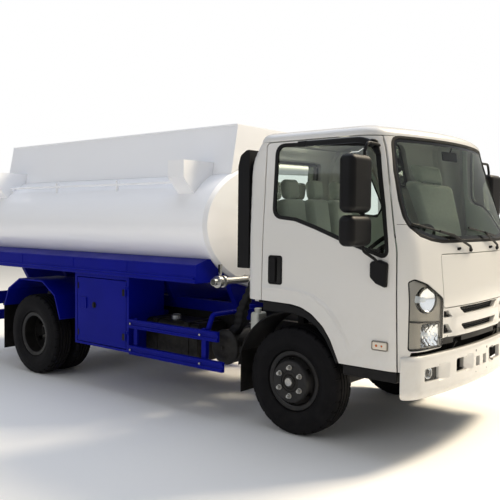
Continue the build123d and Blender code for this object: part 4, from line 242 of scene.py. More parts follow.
class Shape:
    """Gathers simple solids in one mesh, which done() makes a piece."""

    def __init__(self, bm=None):
        self.bm = bmesh.new() if bm is None else bm

    def take(self, other, matrix=None, outward=False):
        """Adds a bmesh, moved by a matrix, with its faces turned outwards where asked."""
        if outward:
            bmesh.ops.recalc_face_normals(other, faces=other.faces)
        mesh = bpy.data.meshes.new("part")
        other.to_mesh(mesh)
        other.free()
        if matrix:
            mesh.transform(matrix)
        self.bm.from_mesh(mesh)
        bpy.data.meshes.remove(mesh)
        return self

    def box(self, x, y, z, r=0.0, segs=2, turn=None):
        """Box between two limits each way, its edges rounded by r."""
        bm = bmesh.new()
        bmesh.ops.create_cube(bm, size=1)
        size = (abs(x[1] - x[0]), abs(y[1] - y[0]), abs(z[1] - z[0]))
        bmesh.ops.scale(bm, vec=size, verts=bm.verts)
        if r:
            soften(bm, bm.edges[:], min(r, min(size) * 0.49), segs)
        middle = Vector(((x[0] + x[1]) / 2, (y[0] + y[1]) / 2, (z[0] + z[1]) / 2))
        return self.take(bm, Matrix.Translation(middle) @ (turn or Matrix.Identity(4)))

    def rod(self, a, b, r, sides=20, bevel=0.0):
        """Round bar from a to b."""
        a, b = Vector(a), Vector(b)
        bm = bmesh.new()
        bmesh.ops.create_cone(bm, cap_ends=True, segments=sides, radius1=r, radius2=r, depth=(b - a).length)
        if bevel:
            rims = [e for e in bm.edges
                    if len(e.link_faces) == 2 and any(len(f.verts) > 4 for f in e.link_faces)]
            soften(bm, rims, bevel)
        return self.take(bm, Matrix.Translation((a + b) / 2) @ facing(b - a))

    def ball(self, c, r, sides=16, scale=(1, 1, 1)):
        """Ball about c, stretched by scale."""
        bm = bmesh.new()
        bmesh.ops.create_uvsphere(bm, u_segments=sides, v_segments=sides // 2, radius=r)
        return self.take(bm, Matrix.Translation(Vector(c)) @ Matrix.Diagonal((*scale, 1)))

    def lathe(self, profile, origin, axis, steps=64, closed=False):
        """Turned solid; the profile gives (radius, distance along the axis)."""
        bm = bmesh.new()
        rings = []
        for r, d in profile:
            rings.append(circle(bm, r, d, steps) if r > 1e-6 else [bm.verts.new((0, 0, d))])
        pairs = list(zip(rings[:-1], rings[1:])) + ([(rings[-1], rings[0])] if closed else [])
        for low, high in pairs:
            for i in range(steps):
                j = (i + 1) % steps
                corner = [low[i % len(low)], low[j % len(low)], high[j % len(high)], high[i % len(high)]]
                ring = list(dict.fromkeys(corner))
                if len(ring) > 2:
                    bm.faces.new(ring)
        return self.take(bm, Matrix.Translation(Vector(origin)) @ facing(axis), outward=True)

    def tube(self, points, r, bend=0.0, sides=14, step=0.35):
        """Round pipe along a path with rounded bends."""
        path = smooth_path([Vector(p) for p in points], bend, step)
        bm = bmesh.new()
        rings = []
        up = None
        for i, p in enumerate(path):
            way = (path[min(i + 1, len(path) - 1)] - path[max(i - 1, 0)]).normalized()
            if up is None:
                up = way.orthogonal().normalized()
            up = (up - way * up.dot(way)).normalized()
            side = way.cross(up)
            turns = [TAU * k / sides for k in range(sides)]
            rings.append([bm.verts.new(p + up * (r * math.cos(t)) + side * (r * math.sin(t))) for t in turns])
        bridge(bm, rings)
        bm.faces.new(list(reversed(rings[0])))
        bm.faces.new(rings[-1])
        return self.take(bm, outward=True)

    def prism(self, outline, y0, y1, r, segs):
        """Straight prism along Y, its edges rounded by r; the outline gives (x, z)."""
        bm = bmesh.new()
        ends = [[bm.verts.new((x, y, z)) for x, z in outline] for y in (y0, y1)]
        bm.faces.new(ends[0])
        bm.faces.new(list(reversed(ends[1])))
        bridge(bm, [ends[0][::-1], ends[1][::-1]])
        bmesh.ops.recalc_face_normals(bm, faces=bm.faces)
        soften(bm, [e for e in bm.edges if e.calc_face_angle(0) > 0.5], r, segs)
        return self.take(bm)

    def bolts(self, spots, axis, r=11, h=9):
        """Hexagon heads on washers, standing along an axis."""
        for spot in spots:
            a = Vector(spot)
            way = Vector(axis)
            self.rod(a - way * 2, a + way * 3, r * 1.5, sides=16)
            self.rod(a, a + way * h, r, sides=6, bevel=1)
        return self

    def done(self, name, mat, body, replaces=(), slot=None, angle=35, flat=True):
        """The piece itself, smooth but for edges sharper than angle."""
        mesh = bpy.data.meshes.new(name)
        for edge in self.bm.edges:
            edge.smooth = edge.calc_face_angle(0) < math.radians(angle)
        for face in self.bm.faces:
            face.smooth = True
        self.bm.to_mesh(mesh)
        self.bm.free()
        obj = settle(mesh, name, mat, body, replaces)
        if flat:
            obj.modifiers.new("Flat faces keep flat shading", "WEIGHTED_NORMAL").keep_sharp = True
        return obj


def circle(bm, r, d, steps):
    """Ring of vertices of radius r round Z, at the height d."""
    return [bm.verts.new((r * math.cos(TAU * i / steps), r * math.sin(TAU * i / steps), d))
            for i in range(steps)]


def bridge(bm, rings):
    """Quads from each ring of vertices to the next."""
    for low, high in zip(rings[:-1], rings[1:]):
        for i in range(len(low)):
            j = (i + 1) % len(low)
            bm.faces.new((low[i], low[j], high[j], high[i]))


def spread(low, high, count):
    """Values from low to high in count equal steps."""
    return [low + (high - low) * i / count for i in range(count + 1)]


def curve_point(a, corner, b, t):
    """Point of the curve from a to b that is drawn towards a corner."""
    return (a * (1 - t) + corner * t) * (1 - t) + (corner * (1 - t) + b * t) * t


def smooth_path(points, bend, step):
    """The points with each inner corner rounded to a bend radius."""
    out = [points[0]]
    for before, here, after in zip(points[:-2], points[1:-1], points[2:]):
        back, on = (before - here), (after - here)
        angle = back.angle(on)
        cut = min(bend / max(math.tan(angle / 2), 1e-3), back.length * 0.49, on.length * 0.49)
        a, b = here + back.normalized() * cut, here + on.normalized() * cut
        count = max(2, int((math.pi - angle) / step) + 1) if bend else 1
        for i in range(count + 1):
            out.append(curve_point(a, here, b, i / count) if bend else here)
    out.append(points[-1])
    return [p for i, p in enumerate(out) if i == 0 or (p - out[i - 1]).length > 1e-4]


def dressed(node, name, mat, body, bevel=3.0, angle=32):
    """A copy of a CAD node's solid with its hard edges rounded."""
    bm = bmesh.new()
    bm.from_mesh(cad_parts[node].data)
    bmesh.ops.scale(bm, vec=(1000, 1000, 1000), verts=bm.verts)
    bmesh.ops.remove_doubles(bm, verts=bm.verts, dist=0.02)
    if bevel:
        bmesh.ops.dissolve_limit(bm, angle_limit=math.radians(1.0), verts=bm.verts, edges=bm.edges)
        sharp = [e for e in bm.edges if len(e.link_faces) == 2
                 and e.calc_face_angle(0) > math.radians(angle) and e.calc_length() > bevel * 2]
        soften(bm, sharp, bevel)
    return Shape(bm).done(name, mat, body, (node,), angle=angle)


# ---------------- outlines
def rounded(points, radius=0.0, step=0.3):
    """Closed outline of (a, b) or (a, b, r) corners, each rounded."""
    out = []
    count = len(points)
    for i, point in enumerate(points):
        here = Vector(point[:2])
        r = point[2] if len(point) > 2 else radius
        before, after = Vector(points[i - 1][:2]), Vector(points[(i + 1) % count][:2])
        back, on = before - here, after - here
        angle = back.angle(on) if back.length and on.length else math.pi
        if r < 0.5 or angle > math.pi - 0.02:
            out.append(here)
            continue
        cut = min(r / math.tan(angle / 2), back.length * 0.48, on.length * 0.48)
        a, b = here + back.normalized() * cut, here + on.normalized() * cut
        n = max(3, int((math.pi - angle) / step) + 2)
        out += [curve_point(a, here, b, k / n) for k in range(n + 1)]
    return out


def rectangle(a0, a1, b0, b1, r):
    """Rectangle from its two limits each way, with rounded corners."""
    return rounded([(a0, b0, r), (a1, b0, r), (a1, b1, r), (a0, b1, r)])


def dense(loop, step):
    """The loop with points added, so that none are further apart than about step."""
    out = []
    for a, b in zip(loop, loop[1:] + loop[:1]):
        n = max(1, int((b - a).length / step + 0.5))
        out += [a.lerp(b, k / n) for k in range(n)]
    return [p for i, p in enumerate(out) if (p - out[i - 1]).length > 0.05]


def area(loop):
    """Area of a loop, negative where it runs clockwise."""
    return sum(a.x * b.y - b.x * a.y for a, b in zip(loop, loop[1:] + loop[:1])) / 2


def shifted(loop, distance):
    """The loop moved inwards by distance (outwards where negative), corner by corner."""
    way = 1 if area(loop) > 0 else -1
    out = []
    for i, here in enumerate(loop):
        a = (here - loop[i - 1]).normalized()
        b = (loop[(i + 1) % len(loop)] - here).normalized()
        na, nb = Vector((-a.y, a.x)), Vector((-b.y, b.x))
        n = (na + nb)
        n = n.normalized() if n.length > 1e-6 else na
        out.append(here + n * (way * distance / max(n.dot(na), 0.4)))
    return out


def inside(p, loop):
    """Whether a point lies in a loop."""
    hit = False
    x, y = p
    for a, b in zip(loop, loop[1:] + loop[:1]):
        if (a.y > y) != (b.y > y) and x < (b.x - a.x) * (y - a.y) / (b.y - a.y) + a.x:
            hit = not hit
    return hit


def panel(name, outline, place, mat, body, holes=(), step=36.0, edge=3.0, thick=14.0, extra=(), replaces=(),
          depth=0.0):
    """Pressed panel on a curved skin, its edges rounded and turned inwards.

    The outline, the holes and the extra points are in the coordinates that place() takes.
    """
    loops = [dense(outline, step)] + [dense(h, step) for h in holes]
    cores = [shifted(loops[0], edge)] + [shifted(h, -edge) for h in loops[1:]]
    points, edges = [], []
    spans = []
    for core in cores:
        first = len(points)
        points += core
        edges += [(first + i, first + (i + 1) % len(core)) for i in range(len(core))]
        spans.append((first, len(core)))
    lo = Vector((min(p.x for p in cores[0]), min(p.y for p in cores[0])))
    hi = Vector((max(p.x for p in cores[0]), max(p.y for p in cores[0])))

    def within(p):
        return inside(p, cores[0]) and not any(inside(p, core) for core in cores[1:])

    def far(p, gap):
        return all((p - q).length > gap for core in cores for q in core)

    nx, ny = int((hi.x - lo.x) / step) + 1, int((hi.y - lo.y) / step) + 1
    for i in range(1, nx):
        for j in range(1, ny):
            p = Vector((lo.x + (hi.x - lo.x) * i / nx, lo.y + (hi.y - lo.y) * j / ny))
            if within(p) and far(p, step * 0.45) and all((p - q).length > step * 0.4 for q in extra):
                points.append(p)
    points += [q for q in extra if within(q) and far(q, 4)]
    flat, _, faces, origin, _, _ = delaunay_2d_cdt(points, edges, [], 0, 1e-4)
    home = {s: i for i, sources in enumerate(origin) for s in sources}
    keep = [f for f in faces if within(sum((flat[i] for i in f), Vector((0, 0))) / len(f))]

    def at(p, d):
        return Vector(place(p.x, p.y, d + depth))

    def normal(p):
        e = 1.5
        u = at(p + Vector((e, 0)), 0) - at(p - Vector((e, 0)), 0)
        v = at(p + Vector((0, e)), 0) - at(p - Vector((0, e)), 0)
        n = u.cross(v).normalized()
        return n if (at(p, 0) - at(p, 5)).dot(n) > 0 else -n

    verts = [at(p, 0) for p in flat]
    normals = [normal(p) for p in flat]
    tris = []
    for f in keep:
        a, b, c = (verts[i] for i in f[:3])
        tris.append(tuple(f) if (b - a).cross(c - a).dot(normals[f[0]]) > 0 else tuple(reversed(f)))
    # round each loop: two rings of the rounded edge, then one at the depth of the turned-in flange
    for (first, count), loop in zip(spans, loops):
        rings = [[home[first + i] for i in range(count)]]
        for share, d in ((0.29, 0.29), (0.0, 1.0), (0.0, None)):
            ring = []
            for i in range(count):
                core_p, rim = points[first + i], loop[i]
                p = rim.lerp(core_p, share)
                outward = (at(rim, 0) - at(core_p, 0)).normalized()
                n = normal(rim)
                ring.append(len(verts))
                verts.append(at(p, thick if d is None else d * edge))
                normals.append((n + outward).normalized() if share else outward)
            rings.append(ring)
        for low, high in zip(rings[:-1], rings[1:]):
            for i in range(count):
                j = (i + 1) % count
                quad = (low[i], low[j], high[j], high[i])
                a, b, c = verts[quad[0]], verts[quad[1]], verts[quad[2]]
                ok = (b - a).cross(c - a).dot(normals[quad[2]] + normals[quad[0]]) > 0
                tris.append(quad if ok else tuple(reversed(quad)))
    mesh = bpy.data.meshes.new(name)
    mesh.from_pydata([tuple(v) for v in verts], [], tris)
    for polygon in mesh.polygons:
        polygon.use_smooth = True
    mesh.normals_split_custom_set_from_vertices([tuple(n) for n in normals])
    return settle(mesh, name, mat, body, replaces)


# ---------------- cab skin
NOSE_KNOTS = ((400, 1125), (1150, 1125), (1545, 1085), (2300, 932), (2600, 870))
WIDE_KNOTS = ((400, 1010), (1545, 1010), (2300, 980), (2600, 970))
CURVE_KNOTS = ((400, 0.2), (1545, 0.2), (2300, 0.4878), (2600, 0.4878))  # of the front in plan, 1/m
LEAN_KNOTS = ((400, 0), (2080, 0), (2180, 16), (2240, 48), (2300, 112), (2600, 112))
BACK_X = XF - 416
CORNER_R, BACK_R = 200, 80
SEAM_Z = 2292
SIDES = (("right", -1), ("left", 1))


def ramp(value, low, high):
    """How far a value has come from low to high, held between 0 and 1."""
    return min(max((value - low) / (high - low), 0), 1)


def eased(z, knots, soft=70):
    """Straight runs between knots, the inner knots rounded over soft."""
    for (z0, v0), (z1, v1) in zip(knots[:-1], knots[1:]):
        if z <= z1 or z1 == knots[-1][0]:
            slope = (v1 - v0) / (z1 - z0)
            break
    value = v0 + slope * (z - z0)
    for k in range(1, len(knots) - 1):
        (za, va), (zb, vb), (zc, vc) = knots[k - 1:k + 2]
        if abs(z - zb) < soft:
            turn = (vc - vb) / (zc - zb) - (vb - va) / (zb - za)
            value += turn * (soft - abs(z - zb)) ** 2 / (4 * soft)
    return value


Plan = namedtuple("Plan", "nose width radius back half front bow end")


def plan(nose, width, radius, back):
    """Half plan of a cab-like form: straight side, corner, bowed front, with the lengths round it."""
    half = math.asin((width - CORNER_R) / (radius - CORNER_R))
    front = nose - radius + (radius - CORNER_R) * math.cos(half)
    bow = radius * half
    return Plan(nose, width, radius, back, half, front, bow, bow + CORNER_R * (math.pi / 2 - half))


def section(z):
    """Plan of the cab at a height."""
    return plan(XF + eased(z, NOSE_KNOTS), eased(z, WIDE_KNOTS, 40), 1000 / eased(z, CURVE_KNOTS),
                back_at(z))


def back_at(z):
    """Where the rear wall stands at a height."""
    return BACK_X + eased(z, LEAN_KNOTS)


def walk(shape, w, d=0.0):
    """Point at the length w round a plan, from the middle of the front, d inside it."""
    nose, width, radius, back, half, front, bow, end = shape
    a, side = abs(w), (1 if w >= 0 else -1)
    if a <= bow:
        x, y = nose - radius + (radius - d) * math.cos(a / radius), (radius - d) * math.sin(a / radius)
    elif a <= end:
        t = math.pi / 2 - half - (a - bow) / CORNER_R
        x, y = front + (CORNER_R - d) * math.sin(t), width - CORNER_R + (CORNER_R - d) * math.cos(t)
    elif front - (a - end) >= back + BACK_R:
        x, y = front - (a - end), width - d
    else:
        over = back + BACK_R - (front - (a - end))
        t = min(over / BACK_R, math.pi / 2)
        x, y = back + BACK_R - (BACK_R - d) * math.sin(t), width - BACK_R + (BACK_R - d) * math.cos(t)
        y -= max(over - BACK_R * math.pi / 2, 0)
    return x, side * y


def skin(w, z, d=0.0):
    """Point of the cab's skin: w runs round it from the middle of the front, to the left where positive."""
    return (*walk(section(z), w, d), z)


def around(x, z):
    """How far round the skin a place along the side lies."""
    cab = section(z)
    if x <= cab.front:
        return cab.end + cab.front - x
    return cab.end - CORNER_R * math.asin(min((x - cab.front) / CORNER_R, 1.0))


def across(y, z):
    """How far round the skin a place across the front lies."""
    cab = section(z)
    if abs(y) <= cab.radius * math.sin(cab.half):
        return cab.radius * math.asin(y / cab.radius)
    t = math.acos(min(max((abs(y) - (cab.width - CORNER_R)) / CORNER_R, -1), 1))
    return math.copysign(cab.bow + CORNER_R * (math.pi / 2 - cab.half - t), y)


def side_place(sign, bulge=None):
    """Place function for a side of the cab: x along it, z up it, with a bulge standing proud."""
    def place(x, z, d=0.0):
        lift = bulge(x, z) if bulge else 0.0
        return skin(sign * around(x, z), z, d - lift)

    return place


def front_loop(points):
    """Outline given across the front as (y, z, corner), turned into the skin's own coordinates."""
    return [Vector((across(p.x, p.y), p.y)) for p in dense(rounded(points), 30)]


def gap_x(z, back=False):
    """Door's shut line along the cab's side."""
    if back:
        knots = ((600, -255), (1050, -255), (2292, -232))
    else:
        knots = ((600, 936), (1489, 913), (1900, 831), (2108, 786), (2220, 758), (2300, 728))
    return XF + eased(z, knots, 40)


# door and its window
ARCH_FOOT_Z, DOOR_WAIST_Z = 648, 1050
ARCH = ((474, 648), (397, 810), (330, 902), (230, 983), (130, 1028), (29, 1043))
arch_line = smooth_path([Vector((XF + a, b)) for a, b in ARCH], 160, 0.12)
door_front = [Vector((gap_x(z) - 4, z)) for z in spread(ARCH_FOOT_Z, 2262, 30)]
door_back = [Vector((gap_x(z, True) + 4, z)) for z in spread(2190, DOOR_WAIST_Z, 20)]
top_corner = smooth_path([door_front[-1], Vector((XF + 736, 2286)), Vector((XF - 232, 2285)), door_back[0]],
                         90, 0.2)
door_outline = door_front[:-1] + top_corner + door_back[1:] + list(reversed(arch_line))
WINDOW = ((-136, 1719, 70), (60, 1700, 200), (250, 1640, 240), (480, 1556, 300), (840, 1440, 34),
          (830, 1560, 0), (796, 1780, 0), (752, 2001, 0), (712, 2214, 90), (300, 2244, 0), (-125, 2254, 70))
window = rounded([(XF + x, z, r) for x, z, r in WINDOW])

CREASE = ((-330, 1150), (-100, 1150), (80, 1146), (230, 1118), (350, 1052), (440, 960), (510, 850),
          (570, 720))
crease = smooth_path([Vector((XF + a, b)) for a, b in CREASE], 150, 0.1)
CREASE_HEIGHT, CREASE_WIDTH = 9.0, 13


def crease_lift(x, z):
    """Pressed ridge over the wheel arch, proud along its line and fading at its foot."""
    best = min(range(len(crease)), key=lambda i: (crease[i].x - x) ** 2 + (crease[i].y - z) ** 2)
    a, b = crease[max(best - 1, 0)], crease[min(best + 1, len(crease) - 1)]
    way = (b - a).normalized()
    off = (x - crease[best].x) * way.y - (z - crease[best].y) * way.x
    return math.exp(-(off / CREASE_WIDTH) ** 2) * CREASE_HEIGHT * ramp(z, 700, 950)


crease_rows = []  # rows of points that let the panel follow the ridge
for a, b in zip(crease[:-1], crease[1:]):
    way = (b - a).normalized()
    n = max(1, int((b - a).length / 22))
    for k in range(n):
        p = a.lerp(b, k / n)
        crease_rows += [p + Vector((way.y, -way.x)) * o for o in (-26, -14, -6, 0, 6, 14, 26)]

for side, sign in SIDES:
    place = side_place(sign, crease_lift)
    body = f"cab_door_{side}"
    rim = shifted(window, -22)
    panel(f"door_skin_{side}", door_outline, place, CAB_WHITE, body, holes=[rim], extra=crease_rows,
          thick=46, replaces=(f"door_{side}",))
    panel(f"window_seal_{side}", shifted(window, -23), side_place(sign), RUBBER, body,
          holes=[shifted(window, 6)], edge=4, thick=20, depth=-1.0)
    panel(f"window_pane_{side}", shifted(window, 2), side_place(sign), GLASS, body, thick=4, edge=0.5,
          depth=11.0, replaces=(f"door_glass_{side}",))
    lining = [Vector((p.x, max(p.y, 860))) for p in shifted(door_outline, 40)]
    panel(f"door_lining_{side}", lining, side_place(sign), TRIM, body, holes=[shifted(window, -12)],
          thick=6, edge=2, depth=47)

# back strips and rear wall, roof, front shell
for side, sign in SIDES:
    levels = spread(DOOR_WAIST_Z, 2180, 18)
    strip = [Vector((gap_x(z, True) - 4, z)) for z in levels]
    bend = [p + Vector((-7, 6)) for p in reversed(top_corner) if p.x < XF - 90 and 2188 < p.y < 2283]
    rest = [Vector((back_at(z) + BACK_R - 165, z)) for z in [2292, 2270, 2240, 2210] + levels[::-1]]
    loop = strip + bend + [Vector((bend[-1].x, 2292))] + rest
    loop = [Vector((sign * around(p.x, p.y), p.y)) for p in dense(loop, 40)]
    panel(f"cab_quarter_{side}", loop, skin, CAB_WHITE, "cab", thick=40, edge=3)
rear = [Vector((y, z)) for y, z in ((-890, 1020), (890, 1020), (862, 2290), (-862, 2290))]
REAR_WINDOW = rectangle(-560, 560, 1760, 2150, 70)


def wall_place(y, z, d=0.0):
    """Point of the flat rear wall, d inside it."""
    return back_at(z) + d, y, z


def ribbed_wall(y, z, d=0.0):
    """The rear wall with upright ribs pressed into its lower part."""
    rib = 5 * max(0, math.cos(y / 55)) if abs(y) < 800 and 1120 < z < 1700 else 0
    return back_at(z) + d + rib, y, z


panel("cab_rear_wall", dense(rear, 60), ribbed_wall, CAB_WHITE, "cab", holes=[shifted(REAR_WINDOW, -20)],
      step=50, thick=40, edge=2, replaces=("cab_back",))
panel("rear_window_seal", shifted(REAR_WINDOW, -22), wall_place, RUBBER, "cab",
      holes=[shifted(REAR_WINDOW, 8)], edge=4, thick=22, depth=1)
panel("rear_window_pane", shifted(REAR_WINDOW, 2), wall_place, GLASS, "cab", edge=0.5, thick=4, depth=12)


def roof():
    """Roof shell: the side drawn in round a bend, then a low ribbed crown."""
    bm = bmesh.new()
    cab = section(SEAM_Z)
    total = cab.end + cab.front - (cab.back + BACK_R) + BACK_R * math.pi / 2 + cab.width - BACK_R
    path = spread(-total, total, 160)[:-1]
    rings = []
    for t in [k / 8 * math.pi / 2 for k in range(9)]:
        z = 2296 + 74 * math.sin(t)
        draw = 104 * (1 - math.cos(t))
        ring = [skin(w, min(z, 2300), draw * (1.25 if abs(w) < cab.bow else 1.0)) for w in path]
        rings.append([bm.verts.new((x, y, z)) for x, y, _ in ring])
    base = rings[-1]
    middle = XF + 230
    for share in (0.93, 0.82, 0.66, 0.46, 0.25, 0.1):
        ring = []
        for v in base:
            p = Vector((v.co.x, v.co.y, 0)).lerp(Vector((middle, 0, 0)), 1 - share)
            ribbed = abs(p.y) < 640 and XF - 240 < p.x < XF + 500
            rib = 3.0 * max(0.0, math.cos(p.y / 60)) ** 2 if ribbed else 0.0
            ring.append(bm.verts.new((p.x, p.y, 2370 + 9 * (1 - share ** 2) + rib * (1 - share ** 8))))
        rings.append(ring)
    low = [bm.verts.new((v.co.x, v.co.y, 2293)) for v in rings[0]]
    inner = [bm.verts.new((XF + 230 + (v.co.x - XF - 230) * 0.94, v.co.y * 0.95, 2293)) for v in rings[0]]
    rings = [inner, low] + rings
    bridge(bm, rings)
    bm.faces.new(list(reversed(rings[-1])))
    bmesh.ops.recalc_face_normals(bm, faces=bm.faces)
    return Shape(bm).done("cab_roof_skin", CAB_WHITE, "cab", ("cab_roof",), "cab_paint", angle=50)


roof()

# windscreen, service lid, lamps and grille openings, given across the front
SCREEN_SIDE = ((560, 1545, 80), (698, 1560, 60), (820, 1592, 60), (897, 1650, 60), (914, 1720, 60),
               (909, 1831, 0), (878, 2042, 0), (815, 2286, 90))
SCREEN = tuple((-y, z, r) for y, z, r in reversed(SCREEN_SIDE)) + SCREEN_SIDE
screen = front_loop(SCREEN)
screen_hole = shifted(screen, -14)
LID = ((-598, 1070, 26), (598, 1070, 26), (598, 1448, 30), (-598, 1448, 30))
lid = front_loop(LID)
LAMP = ((-955, 797, 20), (-608, 797, 34), (-608, 1140, 40), (-790, 1248, 60), (-915, 1288, 34),
        (-952, 1270, 20))
GRILLE_SLOTS = (((-586, 1046, 6), (-586, 996, 8), (-466, 996, 8), (-528, 1046, 10)),
                ((-586, 948, 6), (-586, 880, 8), (-464, 880, 8), (-524, 948, 10)))
GRILLES = (((-385, 1060, 10), (385, 1060, 10), (295, 1006, 14), (-295, 1006, 14)),
           ((-350, 932, 10), (350, 932, 10), (285, 882, 14), (-285, 882, 14)),
           *(tuple((s * y, z, r) for y, z, r in g) for g in GRILLE_SLOTS for s in (1, -1)))
grilles = [front_loop(g) for g in GRILLES]
lamps = {-1: front_loop(LAMP), 1: front_loop([(-y, z, r) for y, z, r in reversed(LAMP)])}


def front_lift(w, z):
    """Sculpted nose: the bars stand proud round the grille openings."""
    lift = 0.0
    if z < 1066:
        for g in grilles[:2]:
            low = min(p.y for p in g)
            reach = 385 - abs(w)
            if reach > -120:
                lift += 7 * ramp(reach, -120, 0) * math.exp(-((z - low + 16) / 22) ** 2)
        lift -= 9 * ramp(abs(w), 420, 500) * ramp(z, 1066, 1036) * ramp(abs(w), 650, 590)
    return lift


def front_place(w, z, d=0.0):
    return skin(w, z, d - front_lift(w, z))


right_gap = [Vector((-around(gap_x(z) + 4, z), z)) for z in spread(ARCH_FOOT_Z, 2288, 40)]
left_gap = [Vector((-p.x, p.y)) for p in right_gap]
top = [Vector((-(right_gap[-1].x) - (2 * -right_gap[-1].x) * i / 24, 2288)) for i in range(1, 24)]
CHEEK = ((960, ARCH_FOOT_Z), (985, 700), (1010, 785))
cheek = [Vector((around(XF + x, z), z)) for x, z in CHEEK]
FOOT_HALF = ((955, 785), (800, 785), (640, 790), (636, 852), (560, 852), (420, 852), (280, 852), (140, 852))
foot = [(-y, z) for y, z in FOOT_HALF] + [(0, 852)] + list(reversed(FOOT_HALF))
shell = [Vector((right_gap[0].x, ARCH_FOOT_Z))] + [Vector((-p.x, p.y)) for p in cheek]
shell += [Vector((across(y, z), z)) for y, z in foot] + list(reversed(cheek))
shell += left_gap[1:] + top + list(reversed(right_gap[1:]))
lamp_holes = [shifted(lamps[s], -3) for s in (-1, 1)]
bars = []
for g in grilles[:2]:
    low = min(p.y for p in g)
    bars += [Vector((w, low - o)) for o in (8, 20, 34) for w in range(-460, 470, 26)]
panel("cab_front_shell", dense(shell, 40), front_place, CAB_WHITE, "cab", extra=bars,
      holes=[screen_hole, shifted(lid, -6)] + grilles + lamp_holes, thick=36, edge=3.5,
      replaces=("cab_front",))
panel("service_lid_skin", lid, skin, CAB_WHITE, "service_lid", thick=30, edge=4, replaces=("front_lid",))

# windscreen: black frit and rubber round a tinted pane
panel("screen_seal", shifted(screen, -13), skin, RUBBER, "cab", holes=[shifted(screen, 10)], edge=4,
      thick=20, depth=-0.5)
panel("screen_frit", shifted(screen, 6), skin, FRIT, "cab", holes=[shifted(screen, 36)], edge=0.6, thick=2,
      depth=9.2)
panel("screen_pane", shifted(screen, 2), skin, GLASS, "cab", step=60, edge=0.5, thick=5, depth=11,
      replaces=("cab_glass",))

# ---------------- headlamps
# a metallised grey that frames the bright reflectors
BEZEL = surface("Lamp bezel, moulded and metallised grey", "#8B877F", 0.3, metal=0.75)


def ring_points(y, z, ry, rz, count=28):
    """Ellipse across the front, in the skin's own coordinates."""
    return [Vector((across(y + ry * math.cos(TAU * i / count), z + rz * math.sin(TAU * i / count)),
                    z + rz * math.sin(TAU * i / count))) for i in range(count)]


DIP_LAMP = ((850, 808, 26), (630, 806, 26), (628, 964, 22), (850, 974, 40))


def bowl(outline, depth, sag, ribs=0.0):
    """Place function for a reflector dished inside its outline."""
    cx = sum(p.x for p in outline) / len(outline)
    cz = sum(p.y for p in outline) / len(outline)
    rx = max(abs(p.x - cx) for p in outline)
    rz = max(abs(p.y - cz) for p in outline)

    def place(w, z, d=0.0):
        u, v = (w - cx) / rx, (z - cz) / rz
        dish = sag * max(0.0, 1 - (u * u + v * v) * 0.62) ** 0.8
        return skin(w, z, d + depth + dish + ribs * math.sin(w / 7) * math.cos(z / 9))

    return place


for side, sign in SIDES:
    lamp = lamps[sign]
    high = ring_points(sign * 788, 1138, 122, 94)
    low = front_loop([(sign * y, z, r) for y, z, r in DIP_LAMP])
    panel(f"headlamp_wall_{side}", shifted(lamp, 2.5), skin, GLOSS_BLACK, "cab", holes=[shifted(lamp, 7)],
          edge=1, thick=66, depth=6)
    panel(f"headlamp_mask_{side}", shifted(lamp, 6), skin, BEZEL, "cab", holes=[high, low], edge=4,
          thick=14, depth=26)
    panel(f"headlamp_reflector_{side}", shifted(high, -1), bowl(high, 26, 54), CHROME, "cab", edge=1,
          thick=5, step=14)
    panel(f"dip_reflector_{side}", shifted(low, -1), bowl(low, 26, 52, 2.2), CHROME, "cab", edge=1, thick=5,
          step=13)
    # the bulbs, which carry a faint painted glow
    trim = Shape()
    for y, z, r in ((788, 1138, 19), (745, 888, 17)):
        x0 = skin(across(sign * y, z), z, 64)[0]
        trim.ball((x0, sign * y, z), r, scale=(1.3, 1, 1))
    trim.done(f"headlamp_bulbs_{side}", BULB_PAINTED_GLOW, "cab")
    strip = front_loop([(sign * y, z, 4) for y, z in ((948, 1002), (614, 976), (614, 964), (948, 990))])
    panel(f"headlamp_divider_{side}", strip, skin, GLOSS_BLACK, "cab", edge=2, thick=20, depth=3)
    panel(f"headlamp_lens_{side}", shifted(lamp, 2), skin, LENS, "cab", edge=2.5, thick=4, step=44,
          depth=0.5, replaces=("headlamps",))
    seal = shifted(lamp, -1.5)
    panel(f"headlamp_gasket_{side}", seal, skin, RUBBER, "cab", holes=[shifted(lamp, 2.2)], edge=0.8,
          thick=16, depth=1.5)

joints = Shape()
JOINT_Z = 1662
for side, sign in SIDES:
    path = spread(around(XF + 896, JOINT_Z), across(903, JOINT_Z), 8)
    joints.tube([skin(sign * w, JOINT_Z, 0.9) for w in path], 1.7, sides=6)
joints.done("pillar_joint", RUBBER, "cab", flat=False)

# ---------------- grille mesh behind the openings
# dusty black, a little lighter than the dark behind it
GRILLE_BLACK = surface("Grille mesh, moulded black ABS", "#101113", 0.4, dust=0.3, dust_top=1200)
SLAT_PITCH, BAR_PITCH = 18, 32
mesh = Shape()
for g in grilles:
    y_low, y_high = min(p.x for p in g), max(p.x for p in g)
    z_low, z_high = min(p.y for p in g), max(p.y for p in g)
    for k in range(int((z_high - z_low) / SLAT_PITCH) + 1):
        z = z_low + 9 + k * SLAT_PITCH
        if z < z_high:
            path = [skin(y_low - 6 + (y_high - y_low + 12) * i / 8, z, 40) for i in range(9)]
            mesh.tube(path, 4.2, sides=8)
    for k in range(int((y_high - y_low) / BAR_PITCH) + 1):
        y = y_low + 16 + k * BAR_PITCH
        if y < y_high:
            mesh.tube([skin(y, z_low - 6, 43), skin(y, z_high + 6, 43)], 4.0, sides=8)
mesh.done("grille_mesh", GRILLE_BLACK, "cab", ("grille",), "black_plastic")
for k, g in enumerate(grilles):
    panel(f"grille_back_{k}", shifted(g, -16), skin, GRILLE_BLACK, "cab", edge=1, thick=3, depth=66,
          step=60)

